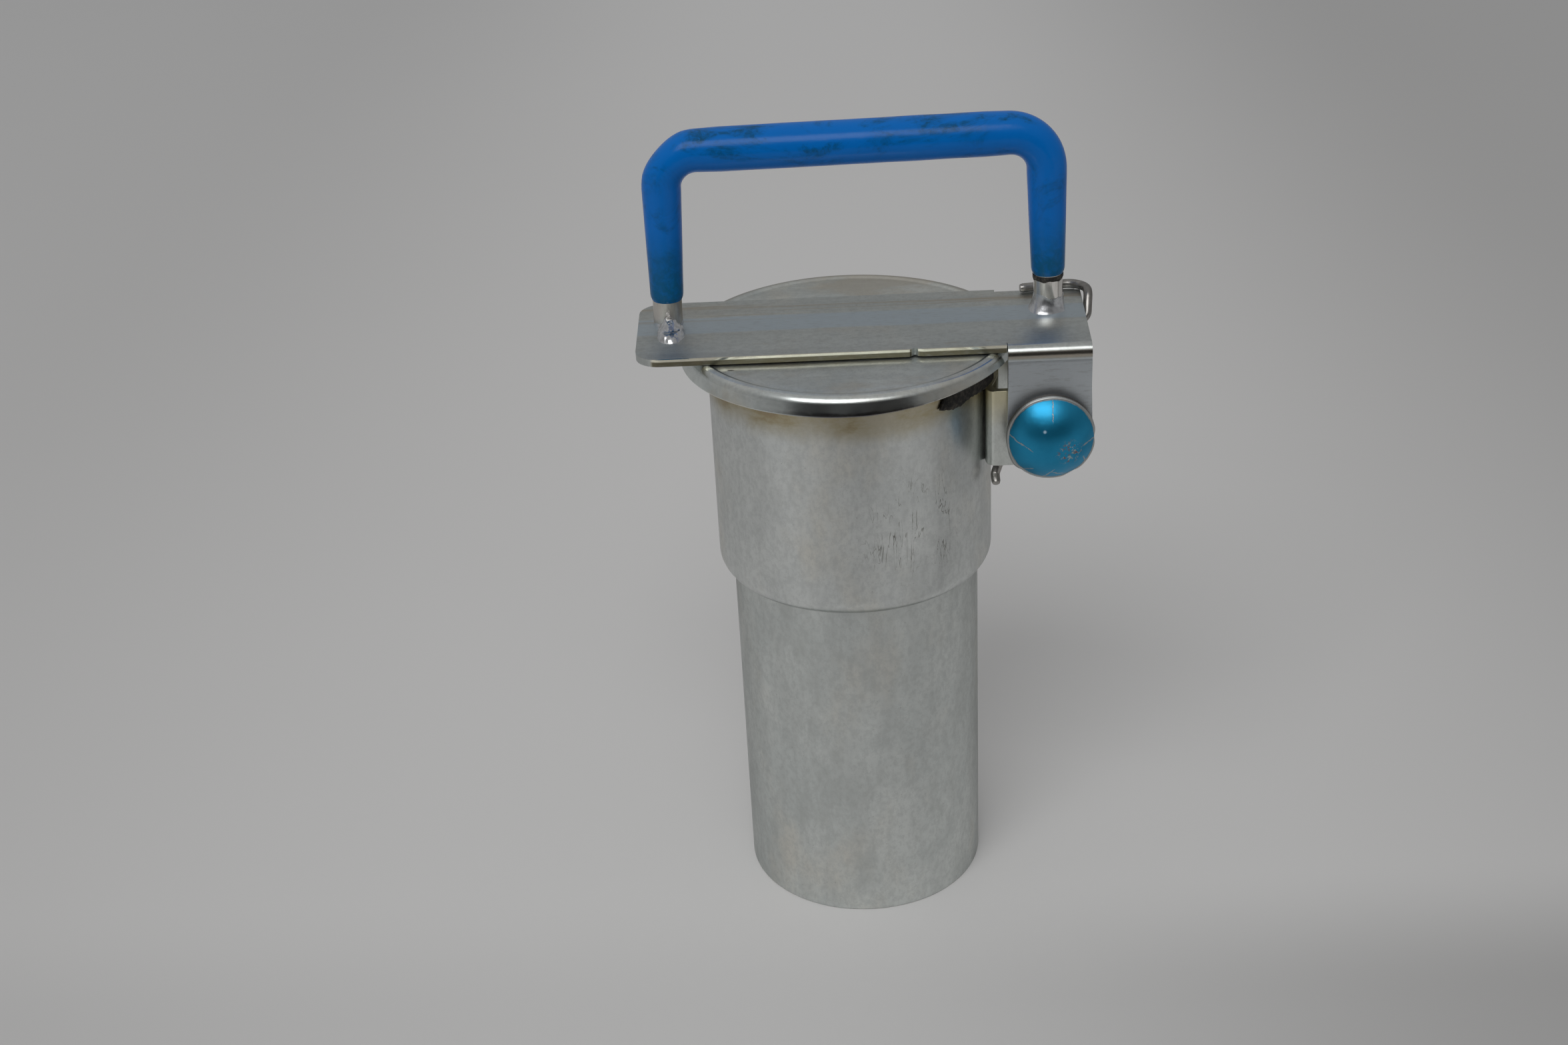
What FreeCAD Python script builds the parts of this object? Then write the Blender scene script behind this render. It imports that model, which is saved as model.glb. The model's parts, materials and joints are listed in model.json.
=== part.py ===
"""Hand-held flint lighter cup: a stepped zinc-plated tube with a sprung, hinged lid on a bail handle.

The torch goes up the open lower tube. Lifting the lid by its handle drags the flint, which hangs on
an arm under the lid, along a file on the inner wall of the upper sleeve. Millimetres throughout.
Origin: tube axis at the base. +Z is up, +X points along the cross bar to the hinge, -Y is the front.
"""

import FreeCAD, Part
import math
import os

Vector = FreeCAD.Vector
PAST = 1.0                 # how far a cutting tool runs past the face it cuts
NEAR = 0.1                 # tolerance when an edge is picked by its place or length

# ---- tube -------------------------------------------------------------------------------------
TUBE_R = 35.0
TUBE_WALL = 1.2
TUBE_TOP = 112.0
JOINT_Z = 101.9            # where the sleeve's neck meets the tube
SLEEVE_R = 38.9
SLEEVE_WALL = 1.5
SLEEVE_TOP = 165.9
SHOULDER_R = 5.0
TUBE_BORE_R = TUBE_R - TUBE_WALL
SPIGOT_R = TUBE_R - 0.4     # the tube's hidden top end, thinned to enter the sleeve's neck
NECK_R = SPIGOT_R + 0.05    # hole in the sleeve's turned-in neck
SLEEVE_BORE_R = SLEEVE_R - SLEEVE_WALL
BRAZE_WALL_H, BRAZE_TUBE_H = 0.6, 2.2   # height of the braze ring at the sleeve and at the tube

# ---- lid --------------------------------------------------------------------------------------
LID_R = 46.5
LID_SHEET = 1.0
RIM_R = 2.8                # outer radius of the rim's rounded top
SKIRT_LEAN_DEG = 15.0      # the rim's skirt leans outward by this much
RIM_LOW = 165.3
RIM_FOOT = 0.4             # chamfer at the foot of the skirt
RIM_TOP = 170.6
PANEL_TOP = 169.7
PANEL_UNDER = PANEL_TOP - LID_SHEET
RIM_STEP_R = 42.7          # where the panel steps up to the rim
STEP_FOOT, STEP_LEAN, STEP_UNDER = 0.4, 0.2, 0.3   # radial sizes of that step's corners
GASKET_INNER_R = 36.2
GASKET_OUTER_R = 41.1
GASKET_UNDER = 166.0
LIP_INNER_R, LIP_OUTER_R = 39.3, 41.0
LIP_UNDER, LIP_TIP_UNDER = 158.9, 161.1
LIP_LAP = 0.5              # how far the lip runs up into the ring
LIP_START, LIP_TIP, LIP_END = -47.0, -53.5, -20.0   # degrees round the tube from +X

# ---- cross bar with its two ears --------------------------------------------------------------
SHEET = 2.0
BAR_TOP = 172.7
BAR_UNDER = BAR_TOP - SHEET
BAR_LEFT, BAR_RIGHT = -57.3, 65.0
BAR_HALF_WIDTH = 20.6
BAR_CORNER_R = 7.0
EAR_FACE_Y = 21.6          # outer face of each ear
EAR_INNER_Y = EAR_FACE_Y - SHEET
EAR_LEFT, EAR_RIGHT = 42.4, 64.2
EAR_R = 12.0
EAR_EYE_Z = 146.0          # centre of the ear's rounded end
EAR_WAIST_Z = 153.5        # below this height the ear is as wide as its rounded end

# ---- hinge ------------------------------------------------------------------------------------
PIN_X, PIN_Z = 52.95, 147.5
PIN_R = 5.0
PIN_HALF_LENGTH = 25.6
PIN_CHAMFER = 0.8
RUNNING_GAP = 0.05
CHEEK_FACE_Y = 19.2
CHEEK_INNER_Y = CHEEK_FACE_Y - SHEET
CHEEK_LEFT = 35.2
CHEEK_R = 11.0
BRACKET_LOW, BRACKET_HIGH = PIN_Z - CHEEK_R, PIN_Z + CHEEK_R
SADDLE_R = SLEEVE_R + 0.03
SADDLE_LAP = 0.3           # how far the saddle runs into each cheek
SADDLE_WELD_LEG, SADDLE_WELD_SPREAD = 1.5, 28.0    # leg in mm, spread in degrees
SADDLE_WELD_R = SLEEVE_R + 0.01
WASHER_R = 10.6
WASHER_T = 1.2
CAP_R = 11.9               # the cap's skirt and flange
CAP_SKIRT_H = 2.4
DOME_R = 11.0
DOME_H = 5.0
CAP_SHEET = 0.7

# ---- return spring ----------------------------------------------------------------------------
WIRE_R = 1.25
COIL_R = 7.2               # centre of the wire to the pin's axis
COIL_PITCH = 2.7
COIL_START_Y = -14.4
COIL_TURNS = 7.07
COIL_START_ANGLE = -66.0   # degrees from +Z towards +X
LOWER_LEG_LENGTH, UPPER_LEG_LENGTH = 16.4, 23.9
LOWER_TIP = ((38.8, -16.0, 133.2), (38.9, -18.5, 131.5))
LOWER_BENDS = (2.0, 1.6)   # bend radii, from the coil outwards
UPPER_HOOK = ((66.6, 7.0, 174.1), (66.4, 20.4, 174.1), (48.6, 17.4, 174.1))
UPPER_BENDS = (2.4, 2.4, 6.5)

# ---- handle -----------------------------------------------------------------------------------
ROD_R = 4.0
ROD_Y = 5.5                # the handle stands behind the bar's middle line
ROD_LEFT_FOOT, ROD_LEFT_TOP = -49.2, -48.0
ROD_RIGHT_FOOT, ROD_RIGHT_TOP = 55.2, 54.0
ROD_TOP_LEFT_Z, ROD_TOP_RIGHT_Z = 221.1, 222.3
ROD_BEND_R = 10.0
GRIP_LEFT_END_Z, GRIP_RIGHT_END_Z = 178.9, 181.9
GRIP_END_R, GRIP_LEG_R, GRIP_BEND_R, GRIP_TOP_R = 4.45, 5.3, 5.5, 5.9
GRIP_BEND_REACH = 11.0     # each bend of the coating, from the corner along both runs
HANDLE_WELD_R = 6.2
HANDLE_WELD_H = 4.0
HANDLE_WELD_TOP_R = ROD_R + 0.3
LEFT_WELD_R, LEFT_WELD_H = 5.3, 6.0
LEFT_WELD_LEAN = -9.0      # the left weld is one bead on the front of its rod

# ---- spark works ------------------------------------------------------------------------------
FILE_FACE_R = 86.3         # radius of the file's face about the pin's axis
FILE_T = 2.3
FILE_LOW, FILE_HIGH = 147.0, 163.5
FILE_HALF_WIDTH = 5.0
TOOTH_DEPTH = 0.45
TOOTH_COUNT = 22
SEAT_HALF_WIDTH = 6.0
SEAT_MARGIN = 0.8
SEAT_RIGHT = -30.0
SEAT_OUTER_R = SLEEVE_BORE_R - 0.01
FILE_RIVET_R, FILE_RIVET_LENGTH = 0.8, 2.6
FILE_RIVET_HEAD_R, FILE_RIVET_HEAD_H = 1.5, 0.7
FILE_RIVET_Y, FILE_RIVET_INSET = 3.4, 3.5          # from the file's middle, and from its end
FILE_RIVET_SINK = TOOTH_DEPTH + 0.05               # head below the file's face
FLINT_Z = 149.0
FLINT_R = 1.5
FLINT_GAP = 0.2            # flint to the tips of the file's teeth
FLINT_RIGHT = -27.6
CUP_R = 3.2
CUP_LEFT, CUP_RIGHT = -31.3, -24.0
SCREW_THREAD_R = 1.7
SCREW_HEAD_R, SCREW_HEAD_H = 2.4, 1.6
SCREW_SLOT_W, SCREW_SLOT_DEPTH = 0.7, 0.8
ARM_SHEET = 1.0
ARM_HALF_WIDTH = 4.0
ARM_LEG_X = -26.5          # left face of the arm's hanging leg
ARM_RIGHT = -7.0
ARM_LOW = 144.5
ARM_RIVETS = ((-20.5, 0.0), (-12.0, 0.0))
RIVET_R = 1.5
RIVET_HEAD_R, RIVET_HEAD_H = 2.8, 0.8
WELD_SPOT_R = 2.5
WELD_SPOTS = ((-30.0, 8.0), (-30.0, -8.0), (24.0, 8.0), (24.0, -8.0))


# ---- helpers ----------------------------------------------------------------------------------
def disc(radius, low, high, x=0.0, y=0.0):
    """An upright cylinder from z = low to z = high."""
    return Part.makeCylinder(radius, high - low, Vector(x, y, low))


def cross_pin(radius, y_low, y_high, x=PIN_X, z=PIN_Z):
    """A cylinder along Y."""
    return Part.makeCylinder(radius, y_high - y_low, Vector(x, y_low, z), Vector(0, 1, 0))


def block(x_low, x_high, y_low, y_high, z_low, z_high):
    """A box between two corners."""
    return Part.makeBox(x_high - x_low, y_high - y_low, z_high - z_low, Vector(x_low, y_low, z_low))


def line(start, end):
    return Part.LineSegment(start, end).toShape()


def arc(start, middle, end):
    return Part.Arc(start, middle, end).toShape()


def arc_about(centre, radius, start_deg, end_deg):
    """An arc in the XZ plane about (x, z), angles from +X towards +Z."""
    points = []
    for degrees in (start_deg, 0.5 * (start_deg + end_deg), end_deg):
        turn = math.radians(degrees)
        points.append(Vector(centre[0] + radius * math.cos(turn), 0, centre[1] + radius * math.sin(turn)))
    return arc(*points)


def spin(edges, degrees=360.0, start_deg=0.0):
    """Turns a closed outline in the XZ plane about the tube's axis."""
    face = Part.Face(Part.Wire(edges))
    if start_deg:
        face.rotate(Vector(0, 0, 0), Vector(0, 0, 1), start_deg)
    return face.revolve(Vector(0, 0, 0), Vector(0, 0, 1), degrees)


def outline(points):
    """Straight edges through (x, z) points, left open."""
    corners = [Vector(x, 0, z) for x, z in points]
    return [line(a, b) for a, b in zip(corners, corners[1:])]


def closed_outline(points):
    return outline(list(points) + [points[0]])


def rounded_route(points, bends):
    """A route through the points, each corner rounded by an arc of its own radius, as one wire."""
    edges = []
    here = points[0]
    for before, corner, after, bend_r in zip(points, points[1:], points[2:], bends):
        to_start = (before - corner).normalize()
        to_end = (after - corner).normalize()
        half_angle = 0.5 * to_start.getAngle(to_end)
        cut = bend_r / math.tan(half_angle)
        arc_start = corner + to_start * cut
        arc_end = corner + to_end * cut
        bisector = (to_start + to_end).normalize()
        arc_middle = corner + bisector * (bend_r / math.sin(half_angle) - bend_r)
        edges += [line(here, arc_start), arc(arc_start, arc_middle, arc_end)]
        here = arc_end
    edges.append(line(here, points[-1]))
    return Part.Wire(edges)


def sweep(route, radius, start, direction):
    """A round bar of the given radius along a wire."""
    profile = Part.Wire(Part.makeCircle(radius, start, direction))
    return route.makePipeShell([profile], True, False)


# ---- fixed pieces: the tube -------------------------------------------------------------------
def lower_tube():
    """Open tube; its top end, inside the sleeve, is thinner than the rest."""
    return spin(closed_outline([
        (TUBE_BORE_R, 0), (TUBE_R, 0), (TUBE_R, JOINT_Z), (SPIGOT_R, JOINT_Z),
        (SPIGOT_R, TUBE_TOP), (TUBE_BORE_R, TUBE_TOP)]))


def shoulder_height(radius, at_r):
    """Height of the shoulder's arc where it reaches a given distance from the axis."""
    centre_r = SLEEVE_R - SHOULDER_R
    return JOINT_Z + SHOULDER_R - math.sqrt(radius ** 2 - (at_r - centre_r) ** 2)


def upper_sleeve():
    """The sleeve, turned in at its lower end to grip the tube."""
    centre = (SLEEVE_R - SHOULDER_R, JOINT_Z + SHOULDER_R)
    inner_r = SHOULDER_R - SLEEVE_WALL
    neck_outer = shoulder_height(SHOULDER_R, NECK_R)
    neck_inner = shoulder_height(inner_r, NECK_R)
    outer_deg = math.degrees(math.atan2(neck_outer - centre[1], NECK_R - centre[0]))
    inner_deg = math.degrees(math.atan2(neck_inner - centre[1], NECK_R - centre[0]))
    edges = [arc_about(centre, SHOULDER_R, outer_deg, 0)]
    edges += outline([(SLEEVE_R, centre[1]), (SLEEVE_R, SLEEVE_TOP), (SLEEVE_BORE_R, SLEEVE_TOP),
                      (SLEEVE_BORE_R, centre[1])])
    edges.append(arc_about(centre, inner_r, 0, inner_deg))
    edges += outline([(NECK_R, neck_inner), (NECK_R, neck_outer)])
    return spin(edges)


def neck_braze_ring():
    """Ring of braze metal inside the shoulder, between tube and sleeve."""
    ring_low = JOINT_Z + SHOULDER_R
    return spin(closed_outline([
        (SPIGOT_R, ring_low), (SLEEVE_BORE_R, ring_low), (SLEEVE_BORE_R, ring_low + BRAZE_WALL_H),
        (SPIGOT_R, ring_low + BRAZE_TUBE_H)]))


def hinge_bracket():
    """A saddle on the sleeve with two cheeks that carry the hinge pin."""
    height = BRACKET_HIGH - BRACKET_LOW
    saddle = disc(SADDLE_R + SHEET, BRACKET_LOW, BRACKET_HIGH)
    saddle = saddle.cut(disc(SADDLE_R, BRACKET_LOW - PAST, BRACKET_HIGH + PAST))
    half_width = CHEEK_INNER_Y + SADDLE_LAP
    bracket = saddle.common(block(0, PIN_X, -half_width, half_width, BRACKET_LOW, BRACKET_HIGH))
    for side in (-1, 1):
        y_low = min(side * CHEEK_FACE_Y, side * CHEEK_INNER_Y)
        cheek = block(CHEEK_LEFT, PIN_X, y_low, y_low + SHEET, BRACKET_LOW, BRACKET_HIGH)
        bend = [e for e in cheek.Edges
                if e.Length > height - NEAR and e.CenterOfMass.x < CHEEK_LEFT + NEAR
                and abs(e.CenterOfMass.y - side * CHEEK_FACE_Y) < NEAR]
        cheek = cheek.makeFillet(SHEET - NEAR, bend)
        cheek = cheek.fuse(cross_pin(CHEEK_R, y_low, y_low + SHEET))
        bracket = bracket.fuse(cheek)
    bracket = bracket.cut(cross_pin(PIN_R + RUNNING_GAP, -CHEEK_FACE_Y - PAST, CHEEK_FACE_Y + PAST))
    return bracket.removeSplitter()


def bracket_welds():
    """Fillet welds along the saddle's top and bottom edges."""
    root_r, leg = SADDLE_WELD_R, SADDLE_WELD_LEG
    beads = []
    for z, way in ((BRACKET_HIGH, 1), (BRACKET_LOW, -1)):
        bead = closed_outline([(root_r, z), (root_r + leg, z), (root_r, z + way * leg)])
        beads.append(spin(bead, SADDLE_WELD_SPREAD, -SADDLE_WELD_SPREAD / 2))
    return Part.makeCompound(beads)


# ---- fixed pieces: the file -------------------------------------------------------------------
def about_pin(radius, z):
    """The x, left of the hinge, at a given distance from the pin's axis and a given height."""
    return PIN_X - math.sqrt(radius ** 2 - (z - PIN_Z) ** 2)


def file_back():
    """A cylinder about the pin's axis that just holds the file."""
    return cross_pin(FILE_FACE_R + FILE_T, -SLEEVE_R, SLEEVE_R)


def rivet_places():
    """The two rivets, one each side of the flint's track."""
    return ((-FILE_RIVET_Y, FILE_LOW + FILE_RIVET_INSET), (FILE_RIVET_Y, FILE_HIGH - FILE_RIVET_INSET))


def striker_file():
    """Curved file strip; its teeth run across the flint's path."""
    step = (FILE_HIGH - FILE_LOW) / TOOTH_COUNT
    tooth_back = 0.7 * step
    face = []
    for tooth in range(TOOTH_COUNT):
        z = FILE_LOW + tooth * step
        face.append((about_pin(FILE_FACE_R + TOOTH_DEPTH, z), z))
        face.append((about_pin(FILE_FACE_R, z + tooth_back), z + tooth_back))
    face.append((about_pin(FILE_FACE_R + TOOTH_DEPTH, FILE_HIGH), FILE_HIGH))
    back_left = about_pin(FILE_FACE_R + FILE_T, PIN_Z) - PAST
    section = closed_outline(face + [(back_left, FILE_HIGH), (back_left, FILE_LOW)])
    strip = Part.Face(Part.Wire(section)).extrude(Vector(0, 2 * FILE_HALF_WIDTH, 0))
    strip.translate(Vector(0, -FILE_HALF_WIDTH, 0))
    strip = strip.common(file_back())
    for y, z in rivet_places():
        strip = strip.cut(rivet_shape(y, z))
    return strip


def file_seat():
    """Packing block, spot-welded to the sleeve's wall, that the file is riveted to."""
    z_low, z_high = FILE_LOW - SEAT_MARGIN, FILE_HIGH + SEAT_MARGIN
    seat = block(-SLEEVE_BORE_R, SEAT_RIGHT, -SEAT_HALF_WIDTH, SEAT_HALF_WIDTH, z_low, z_high)
    seat = seat.common(disc(SEAT_OUTER_R, z_low, z_high)).cut(file_back())
    for y, z in rivet_places():
        seat = seat.cut(rivet_shape(y, z))
    return seat


def rivet_shape(y, z):
    """A countersunk rivet from the file's face into its seat."""
    face = Vector(about_pin(FILE_FACE_R, z) - FILE_RIVET_SINK, y, z)
    inward = Vector(-1, 0, 0)
    head = Part.makeCone(FILE_RIVET_HEAD_R, FILE_RIVET_R, FILE_RIVET_HEAD_H, face, inward)
    return head.fuse(Part.makeCylinder(FILE_RIVET_R, FILE_RIVET_LENGTH, face, inward))


def file_rivets():
    return Part.makeCompound([rivet_shape(y, z) for y, z in rivet_places()])


# ---- the return spring ------------------------------------------------------------------------
def coil_point(degrees):
    turn = math.radians(degrees)
    y = COIL_START_Y + COIL_PITCH * (degrees - COIL_START_ANGLE) / 360.0
    return Vector(PIN_X + COIL_R * math.sin(turn), y, PIN_Z + COIL_R * math.cos(turn))


def coil_direction(degrees):
    turn = math.radians(degrees)
    rise = COIL_PITCH / (2 * math.pi)
    return Vector(COIL_R * math.cos(turn), rise, -COIL_R * math.sin(turn)).normalize()


def return_spring():
    """Torsion spring: the lower leg bears on the saddle, the upper leg hooks over the bar's end."""
    end_angle = COIL_START_ANGLE + 360.0 * COIL_TURNS
    height = COIL_PITCH * COIL_TURNS
    helix = Part.makeHelix(COIL_PITCH, height, COIL_R)
    # A helix starts at +X and turns about +Z; lay it along +Y and turn it to its start angle.
    helix.rotate(Vector(0, 0, 0), Vector(1, 0, 0), -90)
    helix.rotate(Vector(0, 0, 0), Vector(0, 1, 0), COIL_START_ANGLE - 90)
    helix.translate(Vector(PIN_X, COIL_START_Y, PIN_Z))
    start, end = coil_point(COIL_START_ANGLE), coil_point(end_angle)
    start_way, end_way = coil_direction(COIL_START_ANGLE), coil_direction(end_angle)
    coil = sweep(Part.Wire(helix.Edges), WIRE_R, start, start_way)

    lower = [start, start - start_way * LOWER_LEG_LENGTH] + [Vector(*p) for p in LOWER_TIP]
    upper = [end, end + end_way * UPPER_LEG_LENGTH] + [Vector(*p) for p in UPPER_HOOK]
    lower_leg = sweep(rounded_route(lower, LOWER_BENDS), WIRE_R, start, start_way)
    upper_leg = sweep(rounded_route(upper, UPPER_BENDS), WIRE_R, end, end_way)
    return coil.fuse(lower_leg).fuse(upper_leg)


# ---- moving pieces: the lid -------------------------------------------------------------------
def lid():
    """Pressed disc with a raised rim and a flared skirt."""
    lean = math.tan(math.radians(SKIRT_LEAN_DEG))
    turn = math.radians(SKIRT_LEAN_DEG)
    inner_r = RIM_R - LID_SHEET
    centre_z = RIM_TOP - RIM_R
    drop = centre_z + RIM_R * math.sin(turn) - RIM_LOW - RIM_FOOT
    centre_r = LID_R - drop * lean - RIM_R * math.cos(turn)
    centre = (centre_r, centre_z)
    outer = (centre_r + RIM_R * math.cos(turn), centre_z + RIM_R * math.sin(turn))
    inner = (centre_r + inner_r * math.cos(turn), centre_z + inner_r * math.sin(turn))
    edges = outline([(0, PANEL_UNDER), (0, PANEL_TOP), (RIM_STEP_R - STEP_FOOT, PANEL_TOP),
                     (RIM_STEP_R, PANEL_TOP + STEP_FOOT), (RIM_STEP_R + STEP_LEAN, RIM_TOP),
                     (centre_r, RIM_TOP)])
    edges.append(arc_about(centre, RIM_R, 90, SKIRT_LEAN_DEG))
    edges += outline([outer, (LID_R, RIM_LOW + RIM_FOOT), (LID_R - RIM_FOOT, RIM_LOW),
                      (inner[0] + (inner[1] - RIM_LOW) * lean, RIM_LOW), inner])
    edges.append(arc_about(centre, inner_r, SKIRT_LEAN_DEG, 90))
    edges += outline([(centre_r, RIM_TOP - LID_SHEET), (RIM_STEP_R + STEP_UNDER, RIM_TOP - LID_SHEET),
                      (RIM_STEP_R, PANEL_UNDER), (0, PANEL_UNDER)])
    shell = spin(edges)
    for x, y in ARM_RIVETS:
        shell = shell.cut(disc(RIVET_R, PANEL_UNDER - PAST, PANEL_TOP + PAST, x, y))
    return shell


def lip_piece(under, start_deg, end_deg):
    """A stretch of the gasket's hanging lip."""
    top = GASKET_UNDER + LIP_LAP
    section = closed_outline([(LIP_INNER_R, under), (LIP_OUTER_R, under), (LIP_OUTER_R, top),
                              (LIP_INNER_R, top)])
    return spin(section, end_deg - start_deg, start_deg)


def lid_gasket():
    """Rubber ring under the panel, squeezed out into a hanging lip beside the hinge."""
    ring = spin(closed_outline([
        (GASKET_INNER_R, GASKET_UNDER), (GASKET_OUTER_R, GASKET_UNDER),
        (GASKET_OUTER_R, PANEL_UNDER), (GASKET_INNER_R, PANEL_UNDER)]))
    lip = lip_piece(LIP_UNDER, LIP_START, LIP_END)
    tip = lip_piece(LIP_TIP_UNDER, LIP_TIP, LIP_START)
    return ring.fuse(lip).fuse(tip).removeSplitter()


def flint_bar(radius, x_low, x_high):
    """A cylinder on the flint's axis."""
    return Part.makeCylinder(radius, x_high - x_low, Vector(x_low, 0, FLINT_Z), Vector(1, 0, 0))


def flint_arm():
    """Strip under the lid with a leg that carries the flint."""
    root = block(ARM_LEG_X, ARM_RIGHT, -ARM_HALF_WIDTH, ARM_HALF_WIDTH, PANEL_UNDER - ARM_SHEET, PANEL_UNDER)
    leg = block(ARM_LEG_X, ARM_LEG_X + ARM_SHEET, -ARM_HALF_WIDTH, ARM_HALF_WIDTH, ARM_LOW, PANEL_UNDER)
    arm = root.fuse(leg).removeSplitter()
    corner = [e for e in arm.Edges
              if e.Length > 2 * ARM_HALF_WIDTH - NEAR and abs(e.CenterOfMass.x - ARM_LEG_X) < NEAR
              and abs(e.CenterOfMass.z - PANEL_UNDER) < NEAR]
    arm = arm.makeFillet(ARM_SHEET - NEAR, corner)
    arm = arm.cut(flint_bar(CUP_R, ARM_LEG_X - PAST, ARM_LEG_X + ARM_SHEET + PAST))
    for x, y in ARM_RIVETS:
        arm = arm.cut(disc(RIVET_R, PANEL_UNDER - ARM_SHEET - PAST, PANEL_UNDER + PAST, x, y))
    return arm


def flint_arm_rivets():
    """Rivets through the lid's panel and the arm, a low head each side."""
    rivets = []
    arm_under = PANEL_UNDER - ARM_SHEET
    for x, y in ARM_RIVETS:
        rivet = disc(RIVET_R, arm_under, PANEL_TOP, x, y)
        rivet = rivet.fuse(disc(RIVET_HEAD_R, PANEL_TOP, PANEL_TOP + RIVET_HEAD_H, x, y))
        rivet = rivet.fuse(disc(RIVET_HEAD_R, arm_under - RIVET_HEAD_H, arm_under, x, y))
        rivets.append(rivet.removeSplitter())
    return Part.makeCompound(rivets)


def flint_cup():
    """Threaded cup, staked into the arm, that holds the flint."""
    thread = flint_bar(SCREW_THREAD_R, CUP_LEFT - PAST, CUP_RIGHT + PAST)
    return flint_bar(CUP_R, CUP_LEFT, CUP_RIGHT).cut(thread)


def flint():
    """The flint rod; its left end is ground to the curve of the file."""
    reach = FILE_FACE_R - FLINT_GAP
    rod = flint_bar(FLINT_R, about_pin(reach, FLINT_Z) - PAST, FLINT_RIGHT)
    return rod.common(cross_pin(reach, -SLEEVE_R, SLEEVE_R))


def flint_screw():
    """Slotted screw that backs the flint."""
    screw = flint_bar(SCREW_THREAD_R, FLINT_RIGHT, CUP_RIGHT)
    screw = screw.fuse(flint_bar(SCREW_HEAD_R, CUP_RIGHT, CUP_RIGHT + SCREW_HEAD_H)).removeSplitter()
    head_x = CUP_RIGHT + SCREW_HEAD_H
    slot = block(head_x - SCREW_SLOT_DEPTH, head_x + PAST, -SCREW_SLOT_W / 2, SCREW_SLOT_W / 2,
                 FLINT_Z - SCREW_HEAD_R - PAST, FLINT_Z + SCREW_HEAD_R + PAST)
    return screw.cut(slot)


# ---- moving pieces: bar, hinge pin and caps ---------------------------------------------------
def ear(side):
    """One ear: bent down from the bar's long edge, round at its lower end."""
    y_low = min(side * EAR_FACE_Y, side * EAR_INNER_Y)
    plate = block(EAR_LEFT, EAR_RIGHT, y_low, y_low + SHEET, EAR_WAIST_Z, BAR_TOP)
    folded = [e for e in plate.Edges
              if e.Length > EAR_RIGHT - EAR_LEFT - NEAR and abs(e.CenterOfMass.z - BAR_TOP) < NEAR
              and abs(e.CenterOfMass.y - side * EAR_FACE_Y) < NEAR]
    plate = plate.makeFillet(SHEET - NEAR, folded)
    flare = block(PIN_X - EAR_R, PIN_X + EAR_R, y_low, y_low + SHEET, EAR_EYE_Z, EAR_WAIST_Z)
    return plate.fuse(flare).fuse(cross_pin(EAR_R, y_low, y_low + SHEET, PIN_X, EAR_EYE_Z))


def cross_bar():
    """Flat bar over the lid; its ears straddle the hinge bracket."""
    bar = block(BAR_LEFT, BAR_RIGHT, -BAR_HALF_WIDTH, BAR_HALF_WIDTH, BAR_UNDER, BAR_TOP)
    corners = [e for e in bar.Edges
               if abs(e.Length - SHEET) < NEAR and e.CenterOfMass.x < BAR_LEFT + NEAR]
    bar = bar.makeFillet(BAR_CORNER_R, corners)
    for side in (-1, 1):
        bar = bar.fuse(ear(side))
    return bar.removeSplitter().cut(cross_pin(PIN_R, -EAR_FACE_Y - PAST, EAR_FACE_Y + PAST))


def bar_weld_spots():
    """Weld nuggets between the lid's panel and the bar."""
    return Part.makeCompound([disc(WELD_SPOT_R, PANEL_TOP, BAR_UNDER, x, y) for x, y in WELD_SPOTS])


def hinge_pin():
    """Plain pin, chamfered at both ends."""
    pin = cross_pin(PIN_R, -PIN_HALF_LENGTH, PIN_HALF_LENGTH)
    rims = [e for e in pin.Edges
            if abs(abs(e.CenterOfMass.y) - PIN_HALF_LENGTH) < NEAR and e.Length > PIN_R]
    return pin.makeChamfer(PIN_CHAMFER, rims)


def pin_washer(side):
    """Spring-steel push-on washer against the ear."""
    y_low = min(side * EAR_FACE_Y, side * (EAR_FACE_Y + WASHER_T))
    ring = cross_pin(WASHER_R, y_low, y_low + WASHER_T)
    return ring.cut(cross_pin(PIN_R, y_low - PAST, y_low + WASHER_T + PAST))


def pin_dome(side):
    """Hollow cap over the pin's end: a short skirt, a narrow flange and a dome."""
    sphere_r = (DOME_R ** 2 + DOME_H ** 2) / (2 * DOME_H)
    base_y = EAR_FACE_Y + WASHER_T
    flange_y = base_y + CAP_SKIRT_H
    centre = Vector(PIN_X, side * (flange_y + DOME_H - sphere_r), PIN_Z)

    def drum(radius, y_near, y_far):
        return cross_pin(radius, min(side * y_near, side * y_far), max(side * y_near, side * y_far))

    def solid_cap(skirt_r, ball_r, skirt_from, ball_from):
        ball = Part.makeSphere(ball_r, centre).common(drum(CAP_R, ball_from, flange_y + DOME_H + PAST))
        return drum(skirt_r, skirt_from, ball_from).fuse(ball)

    outside = solid_cap(CAP_R, sphere_r, base_y, flange_y)
    inside = solid_cap(CAP_R - CAP_SHEET, sphere_r - CAP_SHEET, base_y - PAST, flange_y - CAP_SHEET)
    return outside.cut(inside)


# ---- moving pieces: the handle ----------------------------------------------------------------
def handle_corners():
    return [Vector(ROD_LEFT_FOOT, ROD_Y, BAR_TOP), Vector(ROD_LEFT_TOP, ROD_Y, ROD_TOP_LEFT_Z),
            Vector(ROD_RIGHT_TOP, ROD_Y, ROD_TOP_RIGHT_Z), Vector(ROD_RIGHT_FOOT, ROD_Y, BAR_TOP)]


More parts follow.
